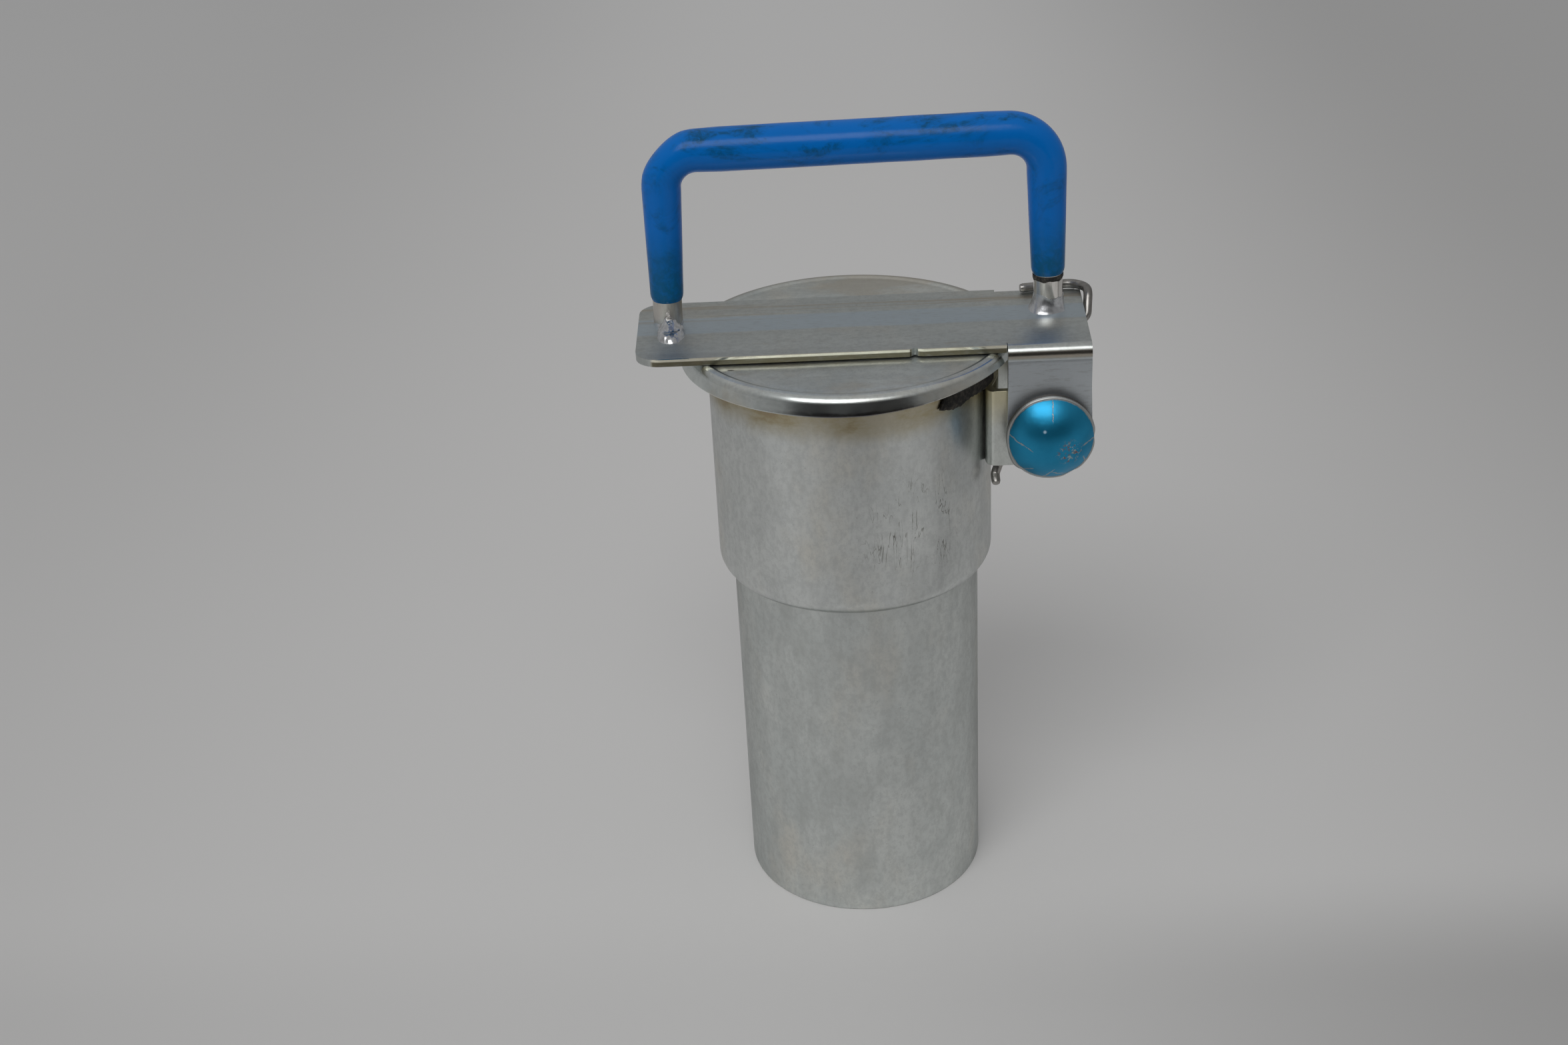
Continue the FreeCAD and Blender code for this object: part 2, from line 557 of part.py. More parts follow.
def handle_rod():
    """Bent steel rod, its feet cut flush with the bar's top."""
    left_foot, left, right, right_foot = handle_corners()
    start = left_foot + (left_foot - left).normalize() * PAST
    end = right_foot + (right_foot - right).normalize() * PAST
    route = rounded_route([start, left, right, end], (ROD_BEND_R, ROD_BEND_R))
    rod = sweep(route, ROD_R, start, (left - start).normalize())
    above_bar = block(BAR_LEFT, BAR_RIGHT, -BAR_HALF_WIDTH, BAR_HALF_WIDTH, BAR_TOP, 2 * BAR_TOP)
    return rod.common(above_bar)


def grip_leg(corner, foot, end_z):
    """Coating on one leg, thicker towards the bend."""
    down = (foot - corner).normalize()
    end = corner + down * ((end_z - corner.z) / down.z)
    top = corner + down * ROD_BEND_R
    return Part.makeCone(GRIP_LEG_R, GRIP_END_R, (end - top).Length, top, down)


def handle_grip():
    """Dipped vinyl coating over the handle's bar, bends and legs."""
    left_foot, left, right, right_foot = handle_corners()
    along = (right - left).normalize()
    top = Part.makeCylinder(GRIP_TOP_R, (right - left).Length - 2 * ROD_BEND_R,
                            left + along * ROD_BEND_R, along)
    reach = GRIP_BEND_REACH
    left_bend = [left + (left_foot - left).normalize() * reach, left, left + along * reach]
    right_bend = [right - along * reach, right, right + (right_foot - right).normalize() * reach]
    grip = top
    for bend in (left_bend, right_bend):
        route = rounded_route(bend, (ROD_BEND_R,))
        grip = grip.fuse(sweep(route, GRIP_BEND_R, bend[0], (bend[1] - bend[0]).normalize()))
    grip = grip.fuse(grip_leg(left, left_foot, GRIP_LEFT_END_Z))
    grip = grip.fuse(grip_leg(right, right_foot, GRIP_RIGHT_END_Z))
    return grip.cut(handle_rod())


def handle_weld_left():
    """One heavy bead of weld metal on the front of the left foot."""
    foot = Vector(ROD_LEFT_FOOT, ROD_Y, BAR_TOP)
    root = Part.makeCone(LEFT_WELD_R, ROD_R, LEFT_WELD_H, foot)
    bead = Part.makeCone(LEFT_WELD_R, ROD_R, LEFT_WELD_H, foot + Vector(0, LEFT_WELD_LEAN, 0))
    bridge = block(ROD_LEFT_FOOT - ROD_R, ROD_LEFT_FOOT + ROD_R, ROD_Y + LEFT_WELD_LEAN, ROD_Y,
                   BAR_TOP, BAR_TOP + LEFT_WELD_H)
    return bead.fuse(root).fuse(bridge).cut(handle_rod())


def handle_weld_right():
    """Weld metal all round the right foot."""
    foot = Vector(ROD_RIGHT_FOOT, ROD_Y, BAR_TOP)
    cone = Part.makeCone(HANDLE_WELD_R, HANDLE_WELD_TOP_R, HANDLE_WELD_H, foot)
    return cone.cut(handle_rod())


PARTS = {
    "lower_tube": lower_tube,
    "upper_sleeve": upper_sleeve,
    "neck_braze_ring": neck_braze_ring,
    "hinge_bracket": hinge_bracket,
    "bracket_welds": bracket_welds,
    "striker_file": striker_file,
    "file_seat": file_seat,
    "file_rivets": file_rivets,
    "return_spring": return_spring,
    "lid": lid,
    "lid_gasket": lid_gasket,
    "flint_arm": flint_arm,
    "flint_arm_rivets": flint_arm_rivets,
    "flint_cup": flint_cup,
    "flint": flint,
    "flint_screw": flint_screw,
    "cross_bar": cross_bar,
    "bar_weld_spots": bar_weld_spots,
    "hinge_pin": hinge_pin,
    "pin_washer_front": lambda: pin_washer(-1),
    "pin_washer_rear": lambda: pin_washer(1),
    "pin_dome_front": lambda: pin_dome(-1),
    "pin_dome_rear": lambda: pin_dome(1),
    "handle_rod": handle_rod,
    "handle_grip": handle_grip,
    "handle_weld_left": handle_weld_left,
    "handle_weld_right": handle_weld_right,
}


os.makedirs("parts", exist_ok=True)
for name, make in PARTS.items():
    shape = make()
    print(f"{name}: {len(shape.Solids)} solid(s), valid {shape.isValid()}, {shape.Volume:.1f} mm3")
    shape.exportStep(f"parts/{name}.step")
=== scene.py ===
"""Looks of the flint spark lighter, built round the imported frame. Shapes are in metres."""
import json
import math
from math import cos, exp, hypot, pi, radians, sin

import bmesh
import bpy
from mathutils import Matrix, Quaternion, Vector, noise


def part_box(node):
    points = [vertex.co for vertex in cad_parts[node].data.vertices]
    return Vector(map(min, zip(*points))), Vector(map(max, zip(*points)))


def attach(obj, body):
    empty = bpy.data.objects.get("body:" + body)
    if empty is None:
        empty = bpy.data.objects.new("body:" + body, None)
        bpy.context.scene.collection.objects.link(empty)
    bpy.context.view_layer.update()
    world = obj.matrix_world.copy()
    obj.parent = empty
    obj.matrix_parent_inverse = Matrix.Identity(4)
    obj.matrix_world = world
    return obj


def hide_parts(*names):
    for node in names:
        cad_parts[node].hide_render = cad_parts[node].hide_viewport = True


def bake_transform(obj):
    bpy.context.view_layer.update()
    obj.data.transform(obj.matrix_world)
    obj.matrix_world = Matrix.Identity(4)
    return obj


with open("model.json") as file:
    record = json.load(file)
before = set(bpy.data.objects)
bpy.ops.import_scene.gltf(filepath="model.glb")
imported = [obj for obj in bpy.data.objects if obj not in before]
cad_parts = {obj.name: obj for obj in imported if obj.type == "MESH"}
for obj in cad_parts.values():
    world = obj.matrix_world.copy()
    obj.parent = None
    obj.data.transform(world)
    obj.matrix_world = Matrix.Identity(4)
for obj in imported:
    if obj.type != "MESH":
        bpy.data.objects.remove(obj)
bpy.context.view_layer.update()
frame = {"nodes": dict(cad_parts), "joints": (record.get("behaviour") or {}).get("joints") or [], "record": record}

MM = 0.001
scene = bpy.context.scene
scene.view_settings.view_transform = "Standard"
FRONT, REAR = -1, 1

# ---- sizes read from the frame ----
tube_low, tube_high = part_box("lower_tube")
sleeve_low, sleeve_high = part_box("upper_sleeve")
lid_low, lid_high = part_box("lid")
bar_low, bar_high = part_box("cross_bar")
bracket_low, bracket_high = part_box("hinge_bracket")
washer_low, washer_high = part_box("pin_washer_front")
cap_low, cap_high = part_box("pin_dome_front")
gasket_low, gasket_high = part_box("lid_gasket")

TUBE_R = tube_high.x
SLEEVE_R = sleeve_high.x
NECK_Z = sleeve_low.z
SLEEVE_TOP = sleeve_high.z
LID_R = lid_high.x
BAR_TOP = bar_high.z
PIN = Vector(frame["joints"][0]["pos_m"])

SHEET = 2.0 * MM
TUBE_WALL = 1.2 * MM
SLEEVE_WALL = 1.5 * MM
SHOULDER_R = 5.0 * MM

# lid: a panel, a step up to a rounded rim, and a skirt that leans out
LID_SHEET = 1.0 * MM
PANEL_DROP = 0.35 * MM         # the panel below the top of the rim
GROOVE_DEPTH = 0.15 * MM       # the groove round the panel, below the panel
RIM_R = 2.8 * MM
SKIRT_LEAN = radians(15.0)
SKIRT_FOOT = 0.4 * MM
SKIRT_LIFT = 2.2 * MM          # how much shorter the skirt is at the hinge
STEP_START_R, STEP_END_R = 41.2 * MM, 42.9 * MM

# handle
ROD_R = 4.0 * MM
HANDLE_BEND_R = 10.0 * MM
HANDLE_Y = 5.5 * MM
LEFT_FOOT = Vector((-49.2 * MM, HANDLE_Y, BAR_TOP))
LEFT_TOP = Vector((-48.0 * MM, HANDLE_Y, 221.1 * MM))
RIGHT_TOP = Vector((54.0 * MM, HANDLE_Y, 222.3 * MM))
RIGHT_FOOT = Vector((55.2 * MM, HANDLE_Y, BAR_TOP))
GRIP_LEFT_END, GRIP_RIGHT_END = 179.25 * MM, 182.4 * MM

# cap: crimp marks round its rim in degrees, and cracks from (x, z) to (x, z) with a width, all in mm
CRIMPS = (-127, -62, 0)
CRACKS = (
    ((-11.6, 1.9), (-7.4, -0.6), 0.42), ((-7.4, -0.6), (-5.4, -1.9), 0.22), ((0.1, 11.6), (0.0, 6.4), 0.20),
    ((8.1, 9.2), (9.5, 6.2), 0.16), ((12.0, 0.0), (8.2, -1.2), 0.40), ((0.6, -8.0), (-2.6, -11.6), 0.30),
    ((0.2, -9.2), (4.4, -10.6), 0.36), ((-5.0, -7.8), (-8.6, -8.9), 0.22), ((8.4, -5.0), (9.2, -6.8), 0.40))


# ---- camera ----
def add_camera():
    data = bpy.data.cameras.new("camera")
    data.lens = 45.3
    data.sensor_width = 36.0
    camera = bpy.data.objects.new("camera", data)
    scene.collection.objects.link(camera)
    place = in_mm(-3.3, -502.1, 372.9)
    aim = in_mm(-20.2, -0.7, 112.7)
    roll = radians(-3.13)
    camera.location = place
    camera.rotation_mode = "QUATERNION"
    camera.rotation_quaternion = (aim - place).to_track_quat("-Z", "Y") @ Quaternion((0, 0, 1), roll)
    scene.camera = camera


# ---- mesh helpers ----
def in_mm(x, y, z):
    """A point given in millimetres."""
    return Vector((x, y, z)) * MM


def new_piece(name, bm, sharp_deg=35.0):
    """Turns a bmesh into an object: outward normals, smooth faces, hard edges where it turns sharply."""
    bmesh.ops.recalc_face_normals(bm, faces=bm.faces)
    limit = radians(sharp_deg)
    for face in bm.faces:
        face.smooth = True
    for edge in bm.edges:
        edge.smooth = edge.calc_face_angle(0.0) < limit
    mesh = bpy.data.meshes.new(name)
    bm.to_mesh(mesh)
    bm.free()
    piece = bpy.data.objects.new(name, mesh)
    scene.collection.objects.link(piece)
    return piece


def rounded(corners, steps=5):
    """A closed outline through (x, y, radius) corners, each rounded by an arc."""
    outline = []
    for i, (x, y, radius) in enumerate(corners):
        corner = Vector((x, y))
        before = (Vector(corners[i - 1][:2]) - corner).normalized()
        after = (Vector(corners[(i + 1) % len(corners)][:2]) - corner).normalized()
        half = 0.5 * before.angle(after)
        if radius <= 0 or half > radians(89.5):
            outline.append(corner)
            continue
        centre = corner + (before + after).normalized() * (radius / sin(half))
        start = corner + before * (radius / math.tan(half)) - centre
        turn = -start.angle_signed(corner + after * (radius / math.tan(half)) - centre)
        for k in range(steps + 1):
            outline.append(centre + Matrix.Rotation(turn * k / steps, 2) @ start)
    return outline


def arc_points(centre, radius, start_deg, end_deg, steps):
    """Points on an arc in a flat outline."""
    points = []
    for k in range(steps + 1):
        turn = radians(start_deg + (end_deg - start_deg) * k / steps)
        points.append(Vector((centre[0] + radius * cos(turn), centre[1] + radius * sin(turn))))
    return points


def smooth(share):
    """Eases from 0 to 1."""
    share = min(1.0, max(0.0, share))
    return share * share * (3 - 2 * share)


def s_curve(start, end, steps):
    """Points that ease from one height to another across a flat outline."""
    points = []
    run, climb = end[0] - start[0], end[1] - start[1]
    for k in range(steps + 1):
        share = k / steps
        points.append(Vector((start[0] + run * share, start[1] + climb * smooth(share))))
    return points


def subdivide(outline, longest):
    """Adds points on the long runs of a closed outline."""
    dense = []
    for a, b in zip(outline, outline[1:] + outline[:1]):
        count = max(1, math.ceil((b - a).length / longest))
        dense.extend(a.lerp(b, k / count) for k in range(count))
    return dense


def lathe(name, outline, segments=192, wobble=None):
    """Spins a closed (radius, height) outline about Z. wobble(angle, r, z) moves the radius."""
    bm = bmesh.new()
    rings = []
    for k in range(segments):
        angle = 2 * pi * k / segments
        ring = []
        for r, z in outline:
            reach = r + (wobble(angle, r, z) if wobble else 0.0)
            ring.append(bm.verts.new((reach * cos(angle), reach * sin(angle), z)))
        rings.append(ring)
    for here, there in zip(rings, rings[1:] + rings[:1]):
        join_rings(bm, here, there)
    bmesh.ops.remove_doubles(bm, verts=bm.verts, dist=1e-7)
    return new_piece(name, bm)


def join_rings(bm, here, there):
    for i in range(len(here)):
        j = (i + 1) % len(here)
        bm.faces.new((here[i], here[j], there[j], there[i]))


def loft(name, rings, sharp_deg=35.0):
    """Joins closed rings of points one after the other, and closes both ends."""
    bm = bmesh.new()
    loops = [[bm.verts.new(point) for point in ring] for ring in rings]
    for here, there in zip(loops, loops[1:]):
        join_rings(bm, here, there)
    bm.faces.new(loops[0])
    bm.faces.new(loops[-1])
    return new_piece(name, bm, sharp_deg)


def lay_on_pin(piece, side):
    """Lays a piece spun about Z on the hinge pin's axis, its +Z facing out."""
    turn = Matrix.Rotation(radians(90 * -side), 4, "X")
    piece.data.transform(Matrix.Translation((PIN.x, 0, PIN.z)) @ turn)
    return piece


def rounded_path(points, bends, spacing):
    """Points along a route whose corners are rounded, each by its own radius."""
    path = [points[0]]

    def add_run(end):
        start = path[-1]
        count = max(1, round((end - start).length / spacing))
        path.extend(start.lerp(end, k / count) for k in range(1, count + 1))

    for before, corner, after, radius in zip(points, points[1:], points[2:], bends):
        back, on = (before - corner).normalized(), (after - corner).normalized()
        half = 0.5 * back.angle(on)
        add_run(corner + back * (radius / math.tan(half)))
        centre = corner + (back + on).normalized() * (radius / sin(half))
        turn = Quaternion(back.cross(on), -(pi - 2 * half))
        count = max(4, round((pi - 2 * half) * radius / spacing))
        start = path[-1].copy()
        for k in range(1, count + 1):
            path.append(centre + Quaternion(turn.axis, turn.angle * k / count) @ (start - centre))
    add_run(points[-1])
    return path


def ring_about(point, across, up, sides, reach):
    """A closed ring of points round a point."""
    ring = []
    for k in range(sides):
        turn = 2 * pi * k / sides
        ring.append(point + (across * cos(turn) + up * sin(turn)) * reach)
    return ring


def tube_along(name, path, radii, sides=40):
    """A round bar along a path, with its own radius at each point and closed ends."""
    rings = []
    across = None
    for i, point in enumerate(path):
        way = (path[min(i + 1, len(path) - 1)] - path[max(i - 1, 0)]).normalized()
        if across is None:
            across = way.orthogonal().normalized()
        across = (across - way * across.dot(way)).normalized()
        rings.append(ring_about(point, across, way.cross(across), sides, radii[i]))
    return loft(name, rings)


def sheet_piece(name, outline, cut_lines, fold, edge=0.35 * MM):
    """Folded sheet metal: a flat outline, cut along (point, normal) lines, moved by fold(), thickened."""
    bm = bmesh.new()
    bm.faces.new([bm.verts.new((p[0], p[1], 0)) for p in outline])
    for point, normal in cut_lines:
        bmesh.ops.bisect_plane(bm, geom=bm.verts[:] + bm.edges[:] + bm.faces[:],
                               plane_co=(*point, 0), plane_no=(*normal, 0), dist=1e-7)
    for vert in bm.verts:
        vert.co = fold(vert.co.x, vert.co.y)
    piece = new_piece(name, bm)
    solid = piece.modifiers.new("thickness", "SOLIDIFY")
    solid.thickness = SHEET
    solid.offset = 0.0
    solid.use_even_offset = True
    bevel = piece.modifiers.new("rounded edges", "BEVEL")
    bevel.width = edge
    bevel.segments = 3
    bevel.limit_method = "ANGLE"
    bevel.angle_limit = radians(50)
    bevel.harden_normals = True
    return bake_modifiers(piece)


def bake_modifiers(piece):
    """Applies a piece's modifiers to its mesh."""
    depsgraph = bpy.context.evaluated_depsgraph_get()
    mesh = bpy.data.meshes.new_from_object(piece.evaluated_get(depsgraph))
    piece.modifiers.clear()
    piece.data = mesh
    return piece


# ---- material helpers ----
class Field:
    """A number that varies over a surface. Sums and products of fields add nodes."""

    def __init__(self, nodes, socket):
        self.nodes = nodes
        self.socket = socket

    def __add__(self, other):
        return self.nodes.math("ADD", self, other)

    def __sub__(self, other):
        return self.nodes.math("SUBTRACT", self, other)

    def __rsub__(self, other):
        return self.nodes.math("SUBTRACT", other, self)

    def __mul__(self, other):
        return self.nodes.math("MULTIPLY", self, other)

    def __abs__(self):
        return self.nodes.math("ABSOLUTE", self)

    def band(self, low, high, from_level=0.0, to_level=1.0):
        """from_level below low, to_level above high, smooth between."""
        node = self.nodes.add("MapRange", {
            "Value": self, "From Min": low, "From Max": high, "To Min": from_level, "To Max": to_level})
        node.interpolation_type = "SMOOTHSTEP"
        return Field(self.nodes, node.outputs[0])

    def between(self, low, high, soft):
        """1 between low and high, 0 outside, smooth over a width of soft at each end."""
        return self.band(low - soft, low + soft) * self.band(high - soft, high + soft, 1, 0)


class Nodes:
    """Short ways to add and join nodes in a shader tree."""

    def __init__(self, tree, coordinates, scale=1.0):
        self.tree = tree
        self.scale = scale
        self.place = self.add("TexCoord").outputs[coordinates]

    def add(self, kind, inputs=None, **settings):
        node = self.tree.nodes.new("ShaderNode" + kind)
        for key, value in settings.items():
            setattr(node, key, value)
        for key, value in (inputs or {}).items():
            self.put(node.inputs[key], value)
        return node

    def put(self, socket, value):
        """Links a socket to a field or a node's output, or gives it a number, vector or colour."""
        if isinstance(value, Field):
            value = value.socket
        if isinstance(value, bpy.types.NodeSocket):
            self.tree.links.new(value, socket)
        elif socket.type == "RGBA" and len(value) == 3:
            socket.default_value = (*value, 1)
        else:
            socket.default_value = value

    def noise(self, scale, detail=4.0, rough=0.55, stretch=None, offset=(0, 0, 0), distortion=0.0):
        """Noise from 0 to 1, scale in features per metre, of coordinates stretched and shifted."""
        place = self.place
        if stretch:
            inputs = {"Vector": place, "Scale": stretch, "Location": offset}
            place = self.add("Mapping", inputs).outputs[0]
        node = self.add("TexNoise", {
            "Vector": place, "Scale": scale, "Detail": detail, "Roughness": rough,
            "Distortion": distortion})
        return Field(self, node.outputs["Fac"])

    def math(self, operation, a, b=0.0):
        return Field(self, self.add("Math", {0: a, 1: b}, operation=operation).outputs[0])

    def length(self, a, b):
        """Length of a flat vector (a, b)."""
        return self.math("SQRT", a * a + b * b)

    def axis(self, index):
        """One coordinate: in millimetres on a piece."""
        return Field(self, self.add("SeparateXYZ", {0: self.place}).outputs[index]) * self.scale

    def reach(self, point, place=None):
        """Distance from a point, in millimetres."""
        inputs = {0: place or self.place, 1: Vector(point) * MM}
        away = self.add("VectorMath", inputs, operation="DISTANCE").outputs["Value"]
        return Field(self, away) * self.scale

    def mix(self, factor, a, b):
        node = self.add("Mix", data_type="RGBA")
        for index, value in ((0, factor), (6, a), (7, b)):
            self.put(node.inputs[index], value)
        return node.outputs[2]


class Look(Nodes):
    """A material under construction."""

    def __init__(self, name, **settings):
        self.material = bpy.data.materials.new(name)
        self.material.use_nodes = True
        super().__init__(self.material.node_tree, "Object", 1 / MM)
        self.shader = self.tree.nodes["Principled BSDF"]
        for socket, value in settings.items():
            self.shader.inputs[socket.replace("_", " ")].default_value = value

    def drive(self, socket, value):
        self.put(self.shader.inputs[socket], value)

    def surface(self, colour, roughness):
        self.drive("Base Color", colour)
        self.drive("Roughness", roughness)

    def bump(self, height, distance, strength=1.0):
        """Adds a bump, in metres of height, on top of the bumps before it."""
        before = self.shader.inputs["Normal"].links
        inputs = {"Height": height, "Distance": distance, "Strength": strength}
        if before:
            inputs["Normal"] = before[0].from_socket
        self.drive("Normal", self.add("Bump", inputs).outputs[0])


def shade(colour, factor):
    return tuple(factor * part for part in colour)


class Zinc(Look):
    """Zinc plate: cloudy grey with warm spots, tiny pits and a fine grain."""

    def __init__(self, name, light, dark, warm, grain, edge=1.0):
        super().__init__(name, Metallic=1.0, Specular_Tint=(edge, edge, edge, 1.0))
        self.clouds = self.noise(28, 6, 0.6, distortion=0.6)
        self.grain = self.noise(160, 5, 0.7, grain)
        self.colour = self.mix(self.clouds.band(0.36, 0.66), dark, light)
        self.tint(warm, self.noise(45, 4, 0.6, (1, 1, 0.6), (0.3, 0.1, 0.2)).band(0.48, 0.75, 0.0, 0.8))
        self.tint(shade(dark, 0.68), self.grain.band(0.35, 0.6, 0.30, 0.0))
        etch = self.noise(620, 5, 0.75, (1, 1, 0.8), (0.4, 0.4, 0.1))
        self.tint(shade(dark, 0.66), etch.band(0.42, 0.62, 0.0, 0.30))
        self.tint((0.22, 0.21, 0.19), self.noise(1300, 3, 0.6).band(0.68, 0.74, 0.0, 0.35))

    def tint(self, colour, amount):
        self.colour = self.mix(amount, self.colour, colour)

    def done(self, roughness, lines=None):
        """Joins colour, roughness and bumps; lines is the direction of rolling marks, if they show."""
        self.surface(self.colour, self.grain * 0.16 + (roughness - 0.08))
        self.bump(self.clouds, 0.00010, 0.35)
        self.bump(self.grain, 0.00003, 0.35)
        if lines:
            self.bump(self.noise(900, 3, 0.6, lines), 0.00004, 0.3)
        return self.material


# ---- zinc-plated pieces: light, dark and warm grey, way of the grain, edge tint; lengths in mm ----
UPRIGHT = (1, 1, 0.3)
ALONG_BAR = (0.03, 1, 1)
YELLOW = (0.60, 0.52, 0.30)
BROWN = (0.42, 0.34, 0.24)


def tube_zinc():
    look = Zinc("zinc_tube", (0.76, 0.785, 0.765), (0.67, 0.70, 0.685), (0.74, 0.72, 0.66), UPRIGHT, 0.56)
    mottle = look.noise(75, 6, 0.7, (1, 1, 0.55), (0.2, 0.4, 0.1))
    look.tint((0.52, 0.54, 0.52), mottle.band(0.52, 0.70) * 0.45)
    return look.done(0.42)


def sleeve_zinc():
    """Stained under the lid's rim, with fine scratches low on the side towards the hinge."""
    look = Zinc("zinc_sleeve", (0.75, 0.77, 0.755), (0.665, 0.69, 0.68), (0.73, 0.71, 0.64), UPRIGHT, 0.78)
    top = SLEEVE_TOP / MM
    ragged = look.noise(42, 4, 0.6) * 9 + look.axis(2)
    patches = look.noise(95, 5, 0.7, (0.7, 0.7, 1.6), (0.2, 0, 0.5))
    look.tint((0.43, 0.375, 0.235), ragged.band(top - 8.5, top - 0.5) * patches.band(0.36, 0.60, 0.65, 1))
    look.tint((0.34, 0.268, 0.18), ragged.band(top - 5.5, top + 0.5) * patches.band(0.50, 0.64, 0.15, 0.85))
    scratched = look.reach((17, -35, 127)).band(6, 21, 1, 0)
    hair = look.noise(300, 3, 0.5, (1, 1, 0.16), (0, 0, 0.31), distortion=1.6)
    thin = abs(hair - 0.5).band(0.004, 0.014, 1, 0)
    look.tint((0.13, 0.12, 0.10), thin * scratched * look.noise(110, 2, 0.5).band(0.40, 0.52) * 0.8)
    return look.done(0.34)


def lid_zinc():
    """Dull panel and bright rim, with painted shade in the groove, at the front of the skirt's foot and on the
    back of the step, and one black mark.
    """
    look = Zinc("zinc_lid", (0.77, 0.80, 0.775), (0.67, 0.71, 0.695), (0.73, 0.71, 0.635), (0.12, 1, 1))
    along, across = look.axis(0), look.axis(1)
    reach = look.length(along, across)
    # painted shade: the groove round the panel is darkened, more on the front sides and not at the back
    groove = reach.between(STEP_START_R / MM + 0.3, STEP_START_R / MM + 1.4, 0.25)
    look.tint((0.11, 0.14, 0.17), groove * across.band(-38, -24, 0.5, 0.9) * across.band(0, 10, 1, 0))
    foot = lid_low.z / MM
    # painted shade: a ragged dark band at the foot of the skirt, only at the front, deepening its dark reflection
    # there
    painted_skirt_shade = (look.noise(240, 5, 0.7) * 2.4 + look.axis(2)).band(foot + 2.0, foot + 2.9, 0.85, 0)
    at_front = abs(along - 9).band(14, 34, 1, 0) * across.band(-20, -10, 1, 0)
    look.tint((0.09, 0.08, 0.09), painted_skirt_shade * at_front * reach.band(45.2, 45.6))
    look.tint(YELLOW, reach.band(45.2, 46.2) * across.band(-5, 15) * 0.7)
    # painted shade: the back of the step is darkened, which dims its reflection there
    look.tint((0.42, 0.40, 0.35), reach.band(41.5, 43.5) * across.band(5, 25) * 0.65)
    stain = look.noise(38, 5, 0.6, (0.5, 1, 1), (0.7, 0.1, 0)).band(0.54, 0.68)
    look.tint((0.58, 0.53, 0.44), stain * 0.6)
    squeezed = look.add("VectorMath", {0: look.place, 1: (0.35, 1, 1)}, operation="MULTIPLY").outputs[0]
    mark = look.reach((-10.95, -23.6, (lid_high.z - PANEL_DROP) / MM), squeezed)
    look.tint((0.03, 0.03, 0.03), mark.band(0.2, 0.45, 0.95, 0))
    return look.done(reach.band(43.4, 44.2, 0.44, 0.23))


def bar_zinc():
    """A bluish band, brown streaks behind it, a front edge with a painted highlight on its bevel and painted shade
    on its olive face, and a bright fold; the front ear has a painted reflection under the fold and a face painted
    lighter.
    """
    look = Zinc("zinc_bar", (0.63, 0.655, 0.635), (0.565, 0.595, 0.58), (0.61, 0.595, 0.54), ALONG_BAR)
    depth, rise = look.axis(1), look.axis(2)
    top = BAR_TOP / MM
    across = depth + (look.noise(60, 3, 0.6, (0.25, 1, 1)) * 3 - 1.5)
    look.tint((0.525, 0.605, 0.665), across.between(-2.8, 8.1, 0.8) * 0.8)
    streaks = look.noise(520, 3, 0.6, (0.015, 1, 1), (0.1, 0.2, 0)).band(0.53, 0.66)
    look.tint((0.47, 0.41, 0.32), streaks * across.between(6.5, 17, 2) * 0.9)
    over_ears = look.axis(0).band(41.2, 41.9)
    cut_edge = depth.band(-20.35, -19.95, 1, 0) * (1 - over_ears)
    below_bevel = rise.band(top - 0.8, top - 0.55, 1, 0)
    # front edge only: the pale tint is partly the cut edge's own colour and partly a painted highlight on the
    # bevel; the dark olive below the bevel is painted shade on its yellowish face
    look.tint((0.92, 0.88, 0.72), cut_edge * 0.9)
    look.tint((0.17, 0.155, 0.10), cut_edge * below_bevel * 0.95)
    # painted light: the front ear's face is painted lighter and bluer than the rest of the sheet
    painted_light_on_ear = depth.band(-21.0, -20.6, 1, 0) * rise.band(top - 4.4, top - 3.6, 1, 0)
    look.tint((0.66, 0.705, 0.745), painted_light_on_ear * 0.8)
    # painted reflection: a brown dark band under the fold, on the front ear only, for the dark reflection there
    look.tint(BROWN, over_ears * rise.between(top - 3.6, top - 1.7, 0.3) * depth.band(-19, -18, 1, 0) * 0.6)
    dirt = look.noise(260, 5, 0.7, (0.4, 1, 1)).band(0.60, 0.70)
    look.tint(BROWN, dirt * across.between(-20, -12, 3) * 0.35)
    specks = look.noise(1500, 4, 0.65, (0.2, 1, 1), (0.3, 0, 0)).band(0.52, 0.66, 0.0, 0.30)
    look.tint((0.36, 0.37, 0.36), specks)
    fold = over_ears * rise.between(top - 3.4, top - 0.1, 0.2)
    polished = look.math("MAXIMUM", fold, cut_edge * (1 - below_bevel) * 1.5)
    return look.done(polished * -0.22 + 0.46, lines=ALONG_BAR)


def plate_zinc():
    """Hinge bracket: yellow at the top, whitish below."""
    look = Zinc("zinc_plate", (0.86, 0.90, 0.86), (0.77, 0.80, 0.765), (0.82, 0.79, 0.66), UPRIGHT)
    top = bracket_high.z / MM
    ragged = look.noise(90, 4, 0.6) * 5 + look.axis(2)
    look.tint((0.74, 0.66, 0.40), ragged.band(top - 9, top + 2, 0.0, 0.75))
    return look.done(0.30)


# ---- other materials ----
def bright_steel(name, colour, roughness, spots=0.25, lumps=0.25):
    """Smooth bright metal with faint stains."""
    look = Look(name, Metallic=1.0)
    stain = look.noise(220, 5, 0.65)
    steel = look.mix(stain.band(0.35, 0.6, spots, 0.0), colour, shade(colour, 0.45))
    look.surface(steel, stain * 0.12 + roughness)
    look.bump(look.noise(700, 3), 0.00012 * lumps, lumps)
    return look.material


